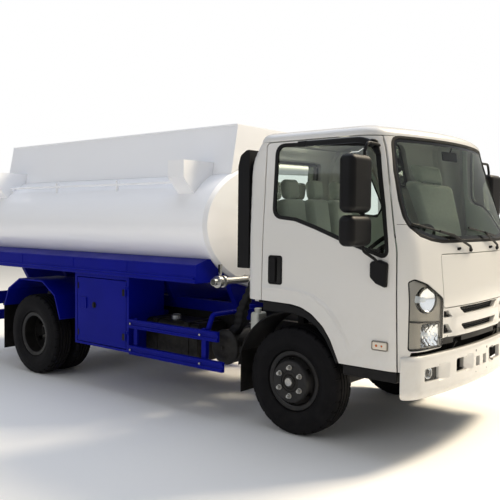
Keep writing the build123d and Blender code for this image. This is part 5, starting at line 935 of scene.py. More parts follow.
# black apron between the nose and the bumper
APRON = ((-640, 806), (-446, 806), (-444, 840), (-322, 840), (-320, 806), (0, 806), (320, 806), (322, 840),
         (444, 840), (446, 806), (640, 806), (640, 868), (300, 868), (0, 868), (-300, 868), (-640, 868))
apron = [Vector((across(y, z), z)) for y, z in APRON]
panel("nose_apron", apron, skin, BLACK_PLASTIC, "cab", edge=2, thick=8, depth=9)

# ---------------- bumper
BUMPER_R = 5000
BUMPER = plan(XF + 1140, 1026, BUMPER_R, BACK_X)
SCOOPS = ((520, 670, 560, 680, 26), (150, 264, 570, 694, 30))  # from, to, foot, top, depth
BUMPER_FOOT_Z, BUMPER_TOP_Z = 447, 762


def bumper_place(w, z, d=0.0):
    """Point of the bumper's skin, rolled in along its edges and scooped towards the openings."""
    low, high = z - BUMPER_FOOT_Z, BUMPER_TOP_Z - z
    roll = 0.0
    if low < 70:
        roll += 34 * (1 - low / 70) ** 2
    if high < 30:
        roll += 16 * (1 - high / 30) ** 2
    for w0, w1, z0, z1, deep in SCOOPS:
        a = abs(w)
        if w0 < a < w1 and z0 < z < z1:
            along = (a - w0) / (w1 - w0)
            edge = min((z - z0) / 14, (z1 - z) / 14, 1.0)
            roll += deep * along * edge
    groove = 3.0 * math.exp(-((z - 500) / 5) ** 2) if abs(w) > 560 else 0.0
    return (*walk(BUMPER, w, d + roll + groove), z)


def bumper_w(y):
    """How far round the bumper a place across it lies."""
    return BUMPER_R * math.asin(y / BUMPER_R)


w_end = BUMPER.end - CORNER_R * math.asin((XF + 961 - BUMPER.front) / CORNER_R)
edge_loop = rounded([(-w_end, 452, 34), (w_end, 452, 34), (w_end, 758, 20), (-w_end, 758, 20)])


def bumper_hole(y0, y1, z0, z1, r):
    """Rounded rectangle across the bumper."""
    return rectangle(bumper_w(y0), bumper_w(y1), z0, z1, r)


fog_holes = [bumper_hole(*sorted((s * 668, s * 842)), 572, 664, 16) for s in (-1, 1)]
vents = [bumper_hole(*sorted((s * 262, s * 428)), 582, 684, 22) for s in (-1, 1)]
slots = [bumper_hole(*sorted((s * 34, s * 100)), 580, 654, 8) for s in (-1, 1)]
rows = []
for s in (-1, 1):
    for w0, w1, z0, z1, _ in SCOOPS:
        for i in range(9):
            for z in (z0 - 6, z0 + 2, z0 + 14, (z0 + z1) / 2, z1 - 14, z1 - 2, z1 + 6):
                rows.append(Vector((s * (w0 - 6 + (w1 - w0 + 4) * i / 8), z)))
panel("bumper_skin", dense(edge_loop, 30), bumper_place, CAB_WHITE, "chassis",
      holes=fog_holes + vents + slots, extra=rows, thick=30, edge=5, step=34, replaces=("front_bumper",))
back_loop = rectangle(-940, 940, 560, 720, 20)
panel("bumper_beam", back_loop, bumper_place, BLACK_PLASTIC, "chassis", thick=8, edge=2, depth=74, step=80)
trim = Shape()
for s in (-1, 1):
    for z in (704, 540):
        x0, y0, _ = bumper_place(bumper_w(s * 105), z)
        trim.rod((x0 - 4, y0, z), (x0 + 1.2, y0, z), 8.5 if z > 600 else 5, sides=16, bevel=0.8)
trim.done("bumper_plugs", GLOSS_BLACK, "chassis")
FOG_BOWL = ((0, -26), (16, -24), (30, -14), (38, 0), (41, 0), (33, -18), (18, -29), (0, -31))
for side, sign in SIDES:
    hole = fog_holes[0] if sign < 0 else fog_holes[1]
    panel(f"fog_lamp_body_{side}", shifted(hole, -10), bumper_place, GLOSS_BLACK, "chassis", edge=1,
          thick=6, depth=60)
    centre = bumper_place(bumper_w(sign * 752), 620, 44)
    Shape().lathe(FOG_BOWL, centre, (1, sign * 0.25, 0), steps=36).done(
        f"fog_lamp_reflector_{side}", CHROME, "chassis")
    panel(f"fog_lamp_lens_{side}", shifted(hole, 1), bumper_place, LENS, "chassis", edge=1.5, thick=4,
          depth=18, step=30, replaces=("fog_lamps",))

# ---------------- wipers
# each wiper: pivot, elbow, and the two ends of its blade
WIPERS = ((-157, 1474, -440, 1588, -880, 1668, -330, 1566), (432, 1474, 150, 1592, -150, 1640, 420, 1574))


def proud(y, z, lift):
    """Point standing off the windscreen."""
    return Vector(skin(across(y, z), z, -lift))


wipers = Shape()
for y0, z0, y1, z1, ya, za, yb, zb in WIPERS:
    wipers.rod(proud(y0, z0, -10), proud(y0, z0, 16), 15, sides=20, bevel=3)
    wipers.tube([proud(y0, z0, 14), proud(y0 - 40, z0 + 30, 22), proud(y1, z1, 26),
                 proud((ya + yb) / 2, (za + zb) / 2, 20)], 9, 18)
    ys, zs = spread(ya, yb, 8), spread(za, zb, 8)
    blade = [proud(y, z, 9) for y, z in zip(ys, zs)]
    wipers.tube(blade, 7)
    for k in (1, 3, 5, 7):
        below = Vector(skin(across(ys[k], za), zs[k], 6))
        wipers.rod(blade[k] + (blade[k] - below).normalized() * 2, proud(ys[k], zs[k], 17), 4, sides=8)
for y in (-355, 250):
    wipers.rod(Vector(skin(y, 1486, 2)), Vector(skin(y, 1486, -16)), 11, sides=16, bevel=3)
    wipers.ball(skin(y, 1490, -17), 10)
wipers.done("wiper_arms", BLACK_PLASTIC, "cab", ("wipers",), "black_plastic")

# ---------------- door fittings
MIRRORS = ((1737, 2130, 1088), (1512, 1722, 1078))  # foot, top, inner edge
for side, sign in SIDES:
    body = f"cab_door_{side}"
    heads = Shape()
    for z0, z1, inner in MIRRORS:
        heads.box((XF + 658, XF + 782), (sign * inner, sign * 1358), (z0, z1), r=46, segs=6)
    heads.done(f"mirror_heads_{side}", BLACK_PLASTIC, body, (f"door_fittings_{side}",), "black_plastic",
               angle=60)
    faces = Shape()
    for z0, z1, _ in MIRRORS:
        faces.box((XF + 656.5, XF + 661), (sign * 1140, sign * 1308), (z0 + 44, z1 - 44), r=1.5)
    faces.done(f"mirror_faces_{side}", CHROME, body)
    pole = Shape()
    top = Vector(skin(sign * around(XF + 728, 2215), 2215, -2))
    foot = Vector(skin(sign * around(XF + 790, 1400), 1400, -26))
    pole.tube([foot, foot + Vector((-12, sign * 20, 24)), (XF + 732, sign * 1136, 1480),
               (XF + 732, sign * 1136, 2150), (XF + 734, sign * 1100, 2222),
               top + Vector((0, sign * 30, 6)), top], 11, 46)
    for z in (1930, 1615):
        pole.rod((XF + 732, sign * 1118, z), (XF + 728, sign * 1160, z), 9)
        pole.rod((XF + 732, sign * 1120, z - 26), (XF + 732, sign * 1120, z + 26), 17, bevel=3)
    pole.done(f"mirror_pole_{side}", BLACK_PLASTIC, body)
    cap = rounded([(XF + 668, 2226, 12), (XF + 716, 2150, 12), (XF + 748, 2146, 12), (XF + 712, 2258, 26),
                   (XF + 668, 2264, 16)])
    panel(f"mirror_cap_{side}", cap, side_place(sign), BLACK_PLASTIC, body, edge=8, thick=20, depth=-15)
    base = rounded([(XF + 728, 1400, 26), (XF + 730, 1292, 24), (XF + 776, 1250, 26), (XF + 856, 1222, 18),
                    (XF + 862, 1396, 24), (XF + 800, 1418, 26)])
    panel(f"mirror_foot_{side}", base, side_place(sign), BLACK_PLASTIC, body, edge=16, thick=36, depth=-34)
    # handle: recessed tray and an upright grip
    tray = rectangle(XF - 186, XF - 50, 1183, 1410, 26)
    panel(f"handle_tray_{side}", tray, side_place(sign), BLACK_PLASTIC, body, holes=[shifted(tray, 16)],
          edge=5, thick=12, depth=-7)
    panel(f"handle_bed_{side}", shifted(tray, 14), side_place(sign), GLOSS_BLACK, body, edge=1, thick=4,
          depth=-1)
    grip = rectangle(XF - 166, XF - 108, 1200, 1394, 16)
    panel(f"handle_grip_{side}", grip, side_place(sign), BLACK_PLASTIC, body, edge=9, thick=16, depth=-17)
    # turn lamp: clear and amber halves in a grey frame
    frame_loop = rectangle(XF + 745, XF + 871, 784, 852, 16)
    panel(f"turn_lamp_frame_{side}", frame_loop, side_place(sign), BEZEL, body,
          holes=[shifted(frame_loop, 6)], edge=3, thick=14, depth=-12)
    lens = rectangle(XF + 752, XF + 864, 791, 845, 10)
    panel(f"turn_lamp_clear_{side}", lens, side_place(sign), PEARL, body, edge=5, thick=12, depth=-11)
    spots = Shape()
    for dx, r in ((-22, 10), (20, 8)):
        x0, y0, z0 = skin(sign * around(XF + 806 + dx, 818), 818, -10)
        spots.ball((x0, y0, z0), r, scale=(1, 0.5, 1))
    spots.done(f"turn_lamp_bulbs_{side}", AMBER, body)
    # weather visor over the window: a tinted lip along its head
    steps = 22
    lip = bmesh.new()
    sheets = []
    for layer in (0, 1):
        grid = []
        for i in range(steps + 1):
            x = XF + 150 + 556 * i / steps
            fall = 0.0 if i < steps - 5 else ((i - steps + 5) / 5) ** 2 * 40
            row = []
            for z, off in ((2281, -2), (2274, -14), (2240 - fall, -24), (2235 - fall, -24)):
                z1 = z - (fall if z > 2240 else 0)
                row.append(Vector(skin(sign * around(x, z1), z1, off + layer * 3)))
            grid.append(row)
        sheets.append([[lip.verts.new(p) for p in row] for row in grid])
    for layer, grid in enumerate(sheets):
        for i in range(steps):
            for j in range(3):
                lip.faces.new((grid[i][j], grid[i + 1][j], grid[i + 1][j + 1], grid[i][j + 1]))
    border = [(i, 0) for i in range(steps + 1)] + [(steps, j) for j in range(1, 4)]
    border += [(i, 3) for i in range(steps - 1, -1, -1)] + [(0, j) for j in (2, 1)]
    for (a, b), (c, d) in zip(border, border[1:] + border[:1]):
        lip.faces.new((sheets[0][a][b], sheets[0][c][d], sheets[1][c][d], sheets[1][a][b]))
    Shape().take(lip, outward=True).done(f"weather_visor_{side}", GLOSS_BLACK, body, angle=60)
    clip = rounded([(XF + 66, 2240, 6), (XF + 162, 2238, 6), (XF + 162, 2281, 6), (XF + 66, 2280, 6)])
    panel(f"visor_clip_{side}", clip, side_place(sign), BLACK_PLASTIC, body, edge=5, thick=12, depth=-12)

# ---------------- tank, walkway box and what stands on them
SKIRT_BACK_X = XF - 4556
SKIRT_FRONT_X = XF - 917
CABINET_Y = 1050
dressed("tank_shell", "tank_barrel", TANK_WHITE, "chassis", bevel=10)
dressed("top_box", "walkway_box", TANK_WHITE, "chassis", bevel=6)
dressed("shoulder_rails", "shoulder_boxes", TANK_WHITE, "chassis", bevel=0)
seams = Shape()
for s in (-1, 1):
    seams.tube([(XF - 884, s * 588, 2534), (XF - 4530, s * 588, 2534)], 7, sides=10)
seams.done("weld_seams", TANK_WHITE, "chassis")
for number, body in ((1, "manhole_cover_front"), (2, "manhole_cover_rear")):
    dressed(f"manhole_lid_{number}", f"manhole_plate_{number}", ALLOY, body, bevel=4)

# ---------------- blue side skirts
dressed("side_skirts", "side_skirt_plates", BLUE, "chassis", bevel=4)
trim = Shape()
for s in (-1, 1):
    for x in (XF - 1810, XF - 2640, XF - 3560):
        trim.box((x - 3, x + 3), (s * 1073, s * 1078.5), (1142, 1290), r=1)
    trim.box((SKIRT_BACK_X, SKIRT_FRONT_X), (s * 1070, s * 1081), (1139, 1168), r=3)
    trim.box((SKIRT_BACK_X, SKIRT_FRONT_X), (s * 1070, s * 1079), (1288, 1297), r=3)
trim.done("skirt_joints", BLUE, "chassis")

# ---------------- cabinets, guards, mudguards
dressed("cabinets", "tool_cabinets", BLUE, "chassis", bevel=3)
dressed("side_guards", "side_guard_bars", BLUE, "chassis", bevel=4)
dressed("rear_mudguards", "rear_mudguard_shells", BLUE, "chassis", bevel=3)
bolts = Shape()
for s in (-1, 1):
    out = (0, s, 0)
    bolts.bolts([(x, s * 1052, z) for x in (XF - 1790, XF - 890) for z in (458, 704)], out, 6, 5)
bolts.done("guard_bolts", ZINC, "chassis")
channel = Shape()
for s in (-1, 1):
    for front_end, low, high in ((700, 734, 745), (700, 663, 674), (640, 489, 499), (640, 416, 426)):
        channel.box((XF - 1790, XF - front_end), (s * 1049, s * 1056), (low, high), r=2)
channel.done("guard_channel_lips", BLUE, "chassis")
for side, sign in SIDES:
    body = f"tool_door_{side}"
    dressed(f"cabinet_door_{side}", f"cabinet_door_plate_{side}", BLUE, body, bevel=3)
    latch = Shape()
    y = sign * CABINET_Y
    latch.rod((XF - 2330, y - sign * 2, 832), (XF - 2330, y + sign * 5, 832), 30, sides=28, bevel=2)
    latch.box((XF - 2342, XF - 2318), (y + sign * 4, y + sign * 14), (806, 858), r=4)
    latch.done(f"cabinet_latch_{side}", CHASSIS, body)
    hinge = Shape()
    for z in (566, 985):
        hinge.box((XF - 1905, XF - 1856), (y, y + sign * 4), (z - 32, z + 32), r=1.5)
        hinge.bolts([(XF - 1888, y + sign * 3, z + k) for k in (-18, 18)], (0, sign, 0), 5, 4)
    for z in (540, 1010):
        hinge.box((XF - 2592, XF - 2576), (y, y + sign * 5), (z - 30, z + 30), r=2)
    hinge.done(f"cabinet_hinge_leaves_{side}", CHASSIS, body)
dressed("mudflaps", "wheel_flaps", FLAP, "chassis", bevel=2)

# ---------------- outlets and pipework
dressed("outlets", "outlet_valves", STEEL, "chassis", bevel=2.5)
VALVE_X, VALVE_Z, FLANGE_BOLT_R = XF - 822, 1150, 41
valve = Shape()
for k in range(8):
    t = TAU * k / 8
    spot = (VALVE_X + FLANGE_BOLT_R * math.cos(t), VALVE_Z + FLANGE_BOLT_R * math.sin(t))
    for y, way in ((-905, -1), (-835, 1)):
        valve.bolts([(spot[0], y, spot[1])], (0, way, 0), 6, 6)
valve.done("valve_bolts", ZINC, "chassis")
lever = [(VALVE_X, y, z) for y, z in ((-870, 1200), (-870, 1222), (-884, 1240), (-884, 1296))]
Shape().tube(lever, 9, 12).done("valve_handle", BLACK_PLASTIC, "chassis")

# ---------------- intake duct, boot, cleaner, bottle
duct = Shape()
x0, x1, y0, y1 = XF - 548, XF - 428, -965, -805
side = rounded([(x0, 1290, 6), (x1, 1290, 6), (x1, 2250, 6), (x0 + 84, 2246, 24), (x0 + 26, 2208, 50),
                (x0, 2120, 70)], step=0.14)
duct.prism(side, y0, y1, r=26, segs=4)
for k in range(12):
    duct.box((x0 + 30, x0 + 37), (y0 + 30, y1 - 30), (1900 + k * 18, 1909 + k * 18), r=3)
duct.done("intake_duct_shell", BLACK_PLASTIC, "cab", ("intake_duct",), "black_plastic")
clamps = Shape()
clamps.lathe(((29, 0), (35, 1), (36, 8), (35, 15), (29, 16)), (XF - 472, -836, 1262), (0, 0, 1), 40,
             closed=True)
clamps.box((XF - 488, XF - 462), (-880, -868), (1263, 1277), r=4)
clamps.lathe(((62, 0), (68, 1), (69, 8), (68, 15), (62, 16)), (XF - 748, -801, 716), (0, 0, 1), 40,
             closed=True)
clamps.done("duct_clamp", BEIGE, "chassis")
ties = Shape()
for z in (1420, 2120):
    ties.box((x1 - 4, back_at(z) - 2), (-915, -820), (z, z + 40), r=4)
ties.done("duct_brackets", CHASSIS, "cab")
bm = bmesh.new()
# the rubber boot between duct and cleaner: height, middle and half sizes at its foot, waist and mouth
stations = ((650, XF - 756, -800, 60, 58), (830, XF - 632, -814, 44, 42), (1240, XF - 470, -836, 27, 28))
rings = []
count, sides = 44, 24
for i in range(count + 1):
    z = 650 + (1262 - 650) * i / count
    k = 0 if z < 830 else 1
    a, b = stations[k], stations[k + 1]
    t = min((z - a[0]) / (b[0] - a[0]), 1.0)
    t = t * t * (3 - 2 * t)
    x, y, rx, ry = (a[j] + (b[j] - a[j]) * t for j in (1, 2, 3, 4))
    swell = 4.0 if (i % 4) < 2 else -3.0
    if z < 760:
        swell = 0
    ring = []
    for m in range(sides):
        c, s = math.cos(TAU * m / sides), math.sin(TAU * m / sides)
        g = (abs(c) ** 5 + abs(s) ** 5) ** (-0.2)
        ring.append(bm.verts.new((x + (rx + swell) * g * c, y + (ry + swell) * g * s, z)))
    rings.append(ring)
bridge(bm, rings)
bm.faces.new(list(reversed(rings[0])))
bm.faces.new(rings[-1])
Shape().take(bm).done("intake_boot", RUBBER, "chassis", angle=60)
cleaner = Shape()
cleaner.lathe(((0, -402), (60, -402), (110, -398), (143, -380), (150, -372), (153, -360), (146, -352),
               (145, -330), (142, -322), (145, -314), (145, -200), (142, -190), (145, -180), (145, -8),
               (137, 0), (0, 0)), (XF - 760, -500, 590), (0, 1, 0), 56)
cleaner.box((XF - 800, XF - 720), (-560, -427), (590, 740), r=6)
cleaner.bolts([(XF - 760, -902, 590)], (0, -1, 0), 14, 14)
cleaner.done("air_cleaner_drum", CASTING, "chassis", ("air_cleaner",), "black_plastic")
bottle = Shape()
bottle.box((XF - 570, XF - 480), (-770, -640), (730, 903), r=24, segs=4)
bottle.lathe(((27, 0), (27, 14), (31, 15), (31, 32), (26, 36), (0, 37)), (XF - 525, -715, 899), (0, 0, 1),
             28)
bottle.box((XF - 572, XF - 478), (-772, -638), (806, 812), r=2)
bottle.done("coolant_bottle_shell", MILK, "chassis", ("coolant_bottle",), "bottle_plastic")

# ---------------- fuel tank, battery box and the rear
dressed("fuel_tank", "fuel_tank_drum", CHASSIS, "chassis", bevel=6)
dressed("battery_box", "battery_case", BLACK_PLASTIC, "chassis", bevel=6)
dressed("tail_lamps", "tail_lamp_bodies", RED, "chassis", bevel=5)
dressed("rear_bumper", "rear_guard", BLUE, "chassis", bevel=5)
dressed("ladder", "rear_ladder", STEEL, "chassis", bevel=3)
lenses = Shape()
for s in (-1, 1):
    for y0, y1 in ((640, 745), (745, 850), (850, 960)):
        lenses.box((-2971, -2974.5), (s * (y0 + 6), s * (y1 - 6)), (640, 730), r=3)
lenses.done("tail_lamp_lenses", AMBER, "chassis")

# ---------------- chassis and running gear
RUNNING_GEAR = (("chassis_frame", "ladder_frame", CHASSIS, 4), ("axles", "axle_casings", CASTING, 5),
                ("leaf_springs", "spring_leaves", CHASSIS, 2.5),
                ("driveline", "engine_and_shafts", CASTING, 6), ("exhaust", "exhaust_pipe", EXHAUST, 5),
                ("tank_cradle", "tank_saddles", BLUE, 4))
for node, name, mat, bevel in RUNNING_GEAR:
    dressed(node, name, mat, "chassis", bevel=bevel)
for side, sign in SIDES:
    dressed(f"knuckle_{side}", f"steering_knuckle_{side}", CASTING, f"steering_{side}", bevel=3)

FUEL_CAP = ((0, 46), (34, 46), (44, 40), (46, 30), (46, 0))
Shape().lathe(FUEL_CAP, (XF - 1490, -740, 748), (0, 0, 1), 36).done("fuel_cap", ALLOY, "chassis")

# ---------------- tyres
TREAD_HALF = ((428, 0), (428, 14), (425, 15.5), (417, 17), (417, 24), (425, 25.5), (427.6, 27), (427.2, 46),
              (424.5, 47.5), (416.5, 49), (416.5, 57), (424, 58.5), (426.4, 60), (424, 78), (420, 86),
              (413, 94), (404, 98.5))
WALL_HALF = ((396, 100.5), (388, 101), (380, 105), (372, 107), (355, 111.5), (352, 113), (348, 113),
             (345, 112.5), (330, 115.2), (316, 116.2), (300, 115), (286, 111.5), (272, 106), (258, 99.5),
             (252, 98), (248, 97), (244, 92), (239.5, 86), (238, 79), (206, 77))
TYRE_STEPS = 150


def tyre(name, body, centres, x, nodes):
    """Ribbed truck tyre: bands of tread with grooves cut in the shoulder blocks."""
    shape = Shape()
    half = TREAD_HALF + WALL_HALF
    profile = [(r, -d) for r, d in reversed(half[1:])] + list(half)
    for y in centres:
        bm = bmesh.new()
        rings = [circle(bm, r, d, TYRE_STEPS) for r, d in profile]
        shoulder = []
        for k, (low, high) in enumerate(zip(rings, rings[1:] + rings[:1])):
            a, b = profile[k], profile[(k + 1) % len(profile)]
            edge = min(abs(a[1]), abs(b[1]))
            for i in range(TYRE_STEPS):
                j = (i + 1) % TYRE_STEPS
                face = bm.faces.new((low[i], low[j], high[j], high[i]))
                if i % 5 == 0 and min(a[0], b[0]) > 400 and edge >= 59.9:
                    shoulder.append(face)
        bmesh.ops.recalc_face_normals(bm, faces=bm.faces)
        bmesh.ops.inset_region(bm, faces=shoulder, thickness=1.2, depth=-6.5, use_even_offset=True,
                               use_boundary=True)
        spin = Matrix.Rotation(-math.pi / 2, 4, "X")
        shape.take(bm, Matrix.Translation((x, y, AXLE_Z)) @ spin)
    shape.done(name, TYRE_RUBBER, body, nodes, "tyre", angle=28)


# ---------------- wheels
RIM = ((203, -77), (232, -77), (236, -84), (232, -88), (206, -86), (196, -80), (194, -60), (196, -20),
       (196, 20), (194, 60), (197, 80), (206, 87), (231, 88), (236, 84), (231, 77), (203, 77), (203, 0))
# half profile of a wheel disc from its rim to the pilot bore, along the outboard way
DISC = ((195, 45), (196, 66), (186, 84), (172, 112), (163, 129), (154, 135), (120, 135), (92, 135),
        (82, 133), (82, 123), (154, 123), (166, 108), (180, 66), (186, 45))


# hubs from their flange to the grease cap: radius, distance out from the flange
FRONT_HUB = ((81, -12), (81, -4), (74, 1), (62, 3), (56, -4), (52, -4), (49, 4), (45, 8), (0, 8.5))
REAR_HUB = ((74, -4), (96, 0), (96, 14), (90, 18), (52, 22), (48, 30), (46, 46), (40, 52), (0, 54))


def hub(x, y, way, profile, base):
    """Flange, stepped hub and grease cap."""
    return Shape().lathe([(r, base + d) for r, d in profile], (x, y, AXLE_Z), (0, way, 0), 48)


def studs(shape, x, y, way, base):
    """Six wheel nuts with their washers and stud ends."""
    for k in range(6):
        t = TAU * k / 6 + math.pi / 6
        c = Vector((x + STUD_CIRCLE_R * math.cos(t), y + way * base, AXLE_Z + STUD_CIRCLE_R * math.sin(t)))
        o = Vector((0, way, 0))
        shape.rod(c - o, c + o * 5, 21, sides=28, bevel=1.2)
        shape.rod(c + o * 4, c + o * 27, 16.5, sides=6, bevel=1.5)
        shape.rod(c + o * 20, c + o * 37, 9.5, sides=16, bevel=1)
    return shape


def steel_wheel(shape, x, y, way):
    """Rim with its dished disc and hand holes."""
    shape.lathe(RIM, (x, y, AXLE_Z), (0, way, 0), 96, closed=True)
    bm = bmesh.new()
    steps = 72
    rings = [circle(bm, r, d, steps) for r, d in DISC]
    front, rear = {}, {}
    for k, (low, high) in enumerate(zip(rings, rings[1:] + rings[:1])):
        for i in range(steps):
            j = (i + 1) % steps
            slot = i % 12 in (5, 6, 7)
            if slot and k == 2:
                front[i] = (low[i], low[j], high[j], high[i])
                continue
            if slot and k == 11:
                rear[i] = (low[i], low[j], high[j], high[i])
                continue
            bm.faces.new((low[i], low[j], high[j], high[i]))
    # sides of the hand holes, between the two skins of the disc
    for i in front:
        f, r = front[i], rear[i]
        bm.faces.new((f[0], f[1], r[2], r[3]))
        bm.faces.new((f[3], f[2], r[1], r[0]))
        if (i - 1) not in front:
            bm.faces.new((f[0], f[3], r[0], r[3]))
        if (i + 1) not in front:
            bm.faces.new((f[1], f[2], r[1], r[2]))
    shape.take(bm, Matrix.Translation((x, y, AXLE_Z)) @ facing((0, way, 0)), outward=True)


# brake drums behind the discs, and the front hub's cap
FRONT_DRUM = ((150, -44), (167, -40), (168, 60), (160, 92), (138, 108), (138, 122), (70, 122), (70, 90),
              (150, 60))
REAR_DRUM = ((150, -135), (167, -130), (168, -40), (160, -24), (138, -14), (60, -14), (60, -40),
             (150, -60))
GREASE_CAP = ((33, 138), (33, 152), (29, 157), (16, 158), (14, 156), (0, 156))
for side, sign in SIDES:
    y = sign * FRONT_WHEEL_Y
    body = f"road_wheel_front_{side}"
    tyre(f"tyre_front_{side}", body, (y,), XF, (f"front_tyre_{side}",))
    shape = Shape()
    steel_wheel(shape, XF, y, sign)
    shape.lathe(FRONT_DRUM, (XF, y, AXLE_Z), (0, sign, 0), 64, closed=True)
    shape.done(f"wheel_front_{side}", WHEEL_BLACK, body, (f"front_wheel_{side}",), "wheel_paint", angle=40)
    hub(XF, y, sign, FRONT_HUB, 133).done(f"hub_front_{side}", CASTING, body)
    shape = Shape()
    shape.lathe(GREASE_CAP, (XF, y, AXLE_Z), (0, sign, 0), 40)
    studs(shape, XF, y, sign, 134)
    shape.done(f"wheel_nuts_front_{side}", ZINC, body)
    y = sign * REAR_WHEEL_Y
    body = f"twin_wheels_{side}"
    tyre(f"tyres_rear_{side}", body, (y - sign * TWIN_OFFSET, y + sign * TWIN_OFFSET), XR,
         (f"rear_tyres_{side}",))
    shape = Shape()
    steel_wheel(shape, XR, y - sign * TWIN_OFFSET, sign)
    steel_wheel(shape, XR, y + sign * TWIN_OFFSET, -sign)
    shape.lathe(REAR_DRUM, (XR, y, AXLE_Z), (0, sign, 0), 64, closed=True)
    shape.done(f"wheels_rear_{side}", WHEEL_BLACK, body, (f"rear_wheels_{side}",), "wheel_paint", angle=40)
    hub(XR, y, sign, REAR_HUB, 16).done(f"hub_rear_{side}", CASTING, body)
    studs(Shape(), XR, y, sign, 12).done(f"wheel_nuts_rear_{side}", ZINC, body)

# ---------------- wheel arches and floor of the cab
FLARE = ((-245, 1046, 12), (-120, 1046, 60), (-20, 1040, 60), (130, 1020, 120), (250, 964, 100),
         (345, 880, 90), (412, 776, 90), (452, 690, 60), (474, 648, 0), (440, 640, 0), (400, 720, 90),
         (340, 815, 90), (262, 892, 90), (165, 944, 90), (50, 972, 90), (-100, 968, 60), (-245, 966, 12))
flare_loop = rounded([(XF + a, b, r) for a, b, r in FLARE])
for side, sign in SIDES:
    panel(f"arch_flare_{side}", flare_loop, side_place(sign), BLACK_PLASTIC, "cab", edge=12, thick=70,
          depth=6, replaces=("front_fenders",) if sign < 0 else ())
    bm = bmesh.new()
    steps = 60
    rows = []
    for r in (543, 535):
        for y in (-952, -602) if r == 543 else (-602, -952):
            rows.append([bm.verts.new((XF + r * math.cos(t), sign * y, AXLE_Z + r * math.sin(t)))
                         for t in map(math.radians, spread(8, 174, steps))])
    for a, b in zip(rows, rows[1:] + rows[:1]):
        for i in range(steps):
            bm.faces.new((a[i], a[i + 1], b[i + 1], b[i]))
    for i in (0, -1):
        bm.faces.new([row[i] for row in rows])
    Shape().take(bm, outward=True).done(f"arch_liner_{side}", BLACK_PLASTIC, "cab")
dressed("cab_floor", "cab_floor_pan", CHASSIS, "cab", bevel=5)

# ---------------- seats
for k, (y, w) in enumerate(((-565, 440), (0, 400), (565, 440))):
    h = w / 2
    cushion = Shape()
    cushion.box((XF - 130, XF + 350), (y - h, y + h), (1200, 1330), r=48, segs=5)
    cushion.done(f"cushion_{k}", CLOTH, "cab", ("seats",), "seat_cloth", angle=70)
    back = Shape()
    lean = Matrix.Rotation(math.radians(-9), 4, "Y")
    back.box((XF - 205, XF - 85), (y - h + 4, y + h - 4), (1290, 1850), r=48, segs=5, turn=lean)
    back.done(f"backrest_{k}", CLOTH, "cab", angle=70)
    rest = Shape()
    rest.box((XF - 235, XF - 150), (y - 130, y + 130), (1850, 2008), r=38, segs=5, turn=lean)
    rest.done(f"head_rest_{k}", CLOTH, "cab", angle=70)
    base = Shape()
    for s in (-1, 1):
        base.rod((XF - 190, y + s * 60, 1800), (XF - 196, y + s * 60, 1880), 7)
    base.box((XF - 120, XF + 320), (y - h + 30, y + h - 30), (1046, 1206), r=8)
    base.done(f"cushion_base_{k}", BLACK_PLASTIC, "cab")

# ---------------- dashboard and steering wheel
dressed("dashboard", "dash_moulding", DASH, "cab", bevel=14)
tilt = Vector((-math.sin(math.radians(38)), 0, math.cos(math.radians(38))))
centre = Vector((XF + 610, -500, 1490))
ring = Shape()
u = Vector((0, 1, 0))
v = tilt.cross(u).normalized()


def outwards(t):
    """Way out of the steering wheel's middle at an angle."""
    return u * math.cos(t) + v * math.sin(t)


loop = [centre + outwards(TAU * i / 72) * 205 for i in range(73)]
ring.tube(loop, 15, sides=16)
hubc = centre - tilt * 22
ring.rod(hubc - tilt * 22, hubc + tilt * 16, 70, sides=32, bevel=8)
for t in (0.15, math.pi - 0.15, math.pi * 1.5):
    ring.tube([hubc + outwards(t) * 50, centre + outwards(t) * 198 - tilt * 4], 12, sides=10)
ring.rod(hubc - tilt * 20, hubc - tilt * 150, 30)
ring.done("steering_wheel_ring", BLACK_PLASTIC, "cab", ("steering_wheel",), "dash_plastic")
mirror = Shape()
mirror.box((XF + 690, XF + 712), (-110, 110), (2130, 2205), r=10)
mirror.tube([(XF + 712, 0, 2200), (XF + 745, 0, 2240), (XF + 760, 0, 2270)], 8, 14)
mirror.done("interior_mirror", BLACK_PLASTIC, "cab")

sills = Shape()
for side, sign in SIDES:
    sills.box((XF + 500, XF + 930), (sign * 764, sign * 996), (568, 642), r=9, segs=3)
sills.done("cab_sills", BLACK_PLASTIC, "cab")


# ---------------- light, floor and camera
def studio_world():
    """White behind the object, and a soft sky with a darker horizon for what the paint reflects."""
    world = bpy.data.worlds.new("Studio")
    bpy.context.scene.world = world
    world.use_nodes = True
    tree = world.node_tree
    tree.nodes.clear()
    path = tree.nodes.new("ShaderNodeLightPath")
    seen = add_node(tree, "ShaderNodeMath", operation="MAXIMUM",
                    links=[(path.outputs["Is Camera Ray"], 0), (path.outputs["Is Transmission Ray"], 1)])
    white = add_node(tree, "ShaderNodeBackground", Color=(1, 1, 1, 1), Strength=1.0)
    parts = add_node(tree, "ShaderNodeSeparateXYZ",
                     [(tree.nodes.new("ShaderNodeTexCoord").outputs["Generated"], 0)])
    ramp = tree.nodes.new("ShaderNodeValToRGB")
    height = add_node(tree, "ShaderNodeMapRange", [(parts.outputs["Z"], "Value")], From_Min=-1.0,
                      From_Max=1.0)
    tree.links.new(height.outputs[0], ramp.inputs[0])
    stops = ramp.color_ramp.elements
    stops[0].position, stops[0].color = 0.0, linear("#B9B2A6")
    stops[1].position, stops[1].color = 1.0, linear("#FFFFFF")
    for spot, code in ((0.49, "#A39B8D"), (0.515, "#C9C8C2"), (0.62, "#E6E9EC")):
        stops.new(spot).color = linear(code)
    sky = add_node(tree, "ShaderNodeBackground", [(ramp.outputs[0], "Color")], Strength=0.42)
    mix = add_node(tree, "ShaderNodeMixShader",
                   [(seen.outputs[0], 0), (sky.outputs[0], 1), (white.outputs[0], 2)])
    out = tree.nodes.new("ShaderNodeOutputWorld")
    tree.links.new(mix.outputs[0], out.inputs[0])


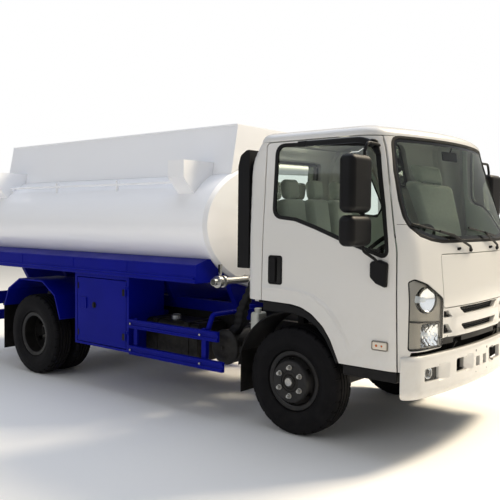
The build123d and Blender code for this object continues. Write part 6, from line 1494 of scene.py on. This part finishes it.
def lamp(name, spot, target, size, power, color):
    """Area lamp turned to its target."""
    data = bpy.data.lights.new(name, "AREA")
    data.shape = "RECTANGLE"
    data.size, data.size_y = size
    data.energy = power
    data.color = linear(color)[:3]
    obj = bpy.data.objects.new(name, data)
    obj.location = spot
    obj.rotation_euler = (Vector(target) - Vector(spot)).to_track_quat("-Z", "Y").to_euler()
    bpy.context.scene.collection.objects.link(obj)


studio_world()
lamp("Key light", (6.5, 9.5, 13.0), (1.0, 0, 1.2), (4, 4), 3900, "#FFEFD3")
lamp("Side fill", (-3.0, -14.0, 7.0), (0, 0, 1.4), (12, 6), 300, "#EEF3FF")
lamp("Top light", (0, 1.0, 11.0), (0, 0, 1.0), (12, 8), 470, "#DEE9FF")

FLOOR_HALF = 40  # metres
corners = [(x * FLOOR_HALF, y * FLOOR_HALF, 0) for x, y in ((-1, -1), (1, -1), (1, 1), (-1, 1))]
floor_mesh = bpy.data.meshes.new("Studio floor")
floor_mesh.from_pydata(corners, [], [(0, 1, 2, 3)])
# pale and matt: it takes soft shadows and throws light back under the chassis
floor_mesh.materials.append(surface("Studio floor, painted pale", "#F4F3F0", 0.8))
floor = bpy.data.objects.new("Studio floor", floor_mesh)
bpy.context.scene.collection.objects.link(floor)

camera_data = bpy.data.cameras.new("View")
SENSOR, FOCAL_TO_WIDTH = 36, 681.3 / 500
camera_data.sensor_width = SENSOR
camera_data.lens = FOCAL_TO_WIDTH * SENSOR
camera_data.clip_end = 200
camera = bpy.data.objects.new("View", camera_data)
AZ, PITCH, ROLL = math.radians(39.8), math.radians(2.5), math.radians(0.6)
ahead = Vector((-math.sin(AZ) * math.cos(PITCH), math.cos(AZ) * math.cos(PITCH), -math.sin(PITCH)))
aside = ahead.cross(Vector((0, 0, 1))).normalized()
above = aside.cross(ahead)
spin = Matrix((aside, above, -ahead)).transposed().to_4x4()
EYE = (4.9693, -5.201, 1.6806)
camera.matrix_world = Matrix.Translation(EYE) @ spin @ Matrix.Rotation(ROLL, 4, "Z")
bpy.context.scene.collection.objects.link(camera)
bpy.context.scene.camera = camera
bpy.context.scene.view_settings.view_transform = "Standard"
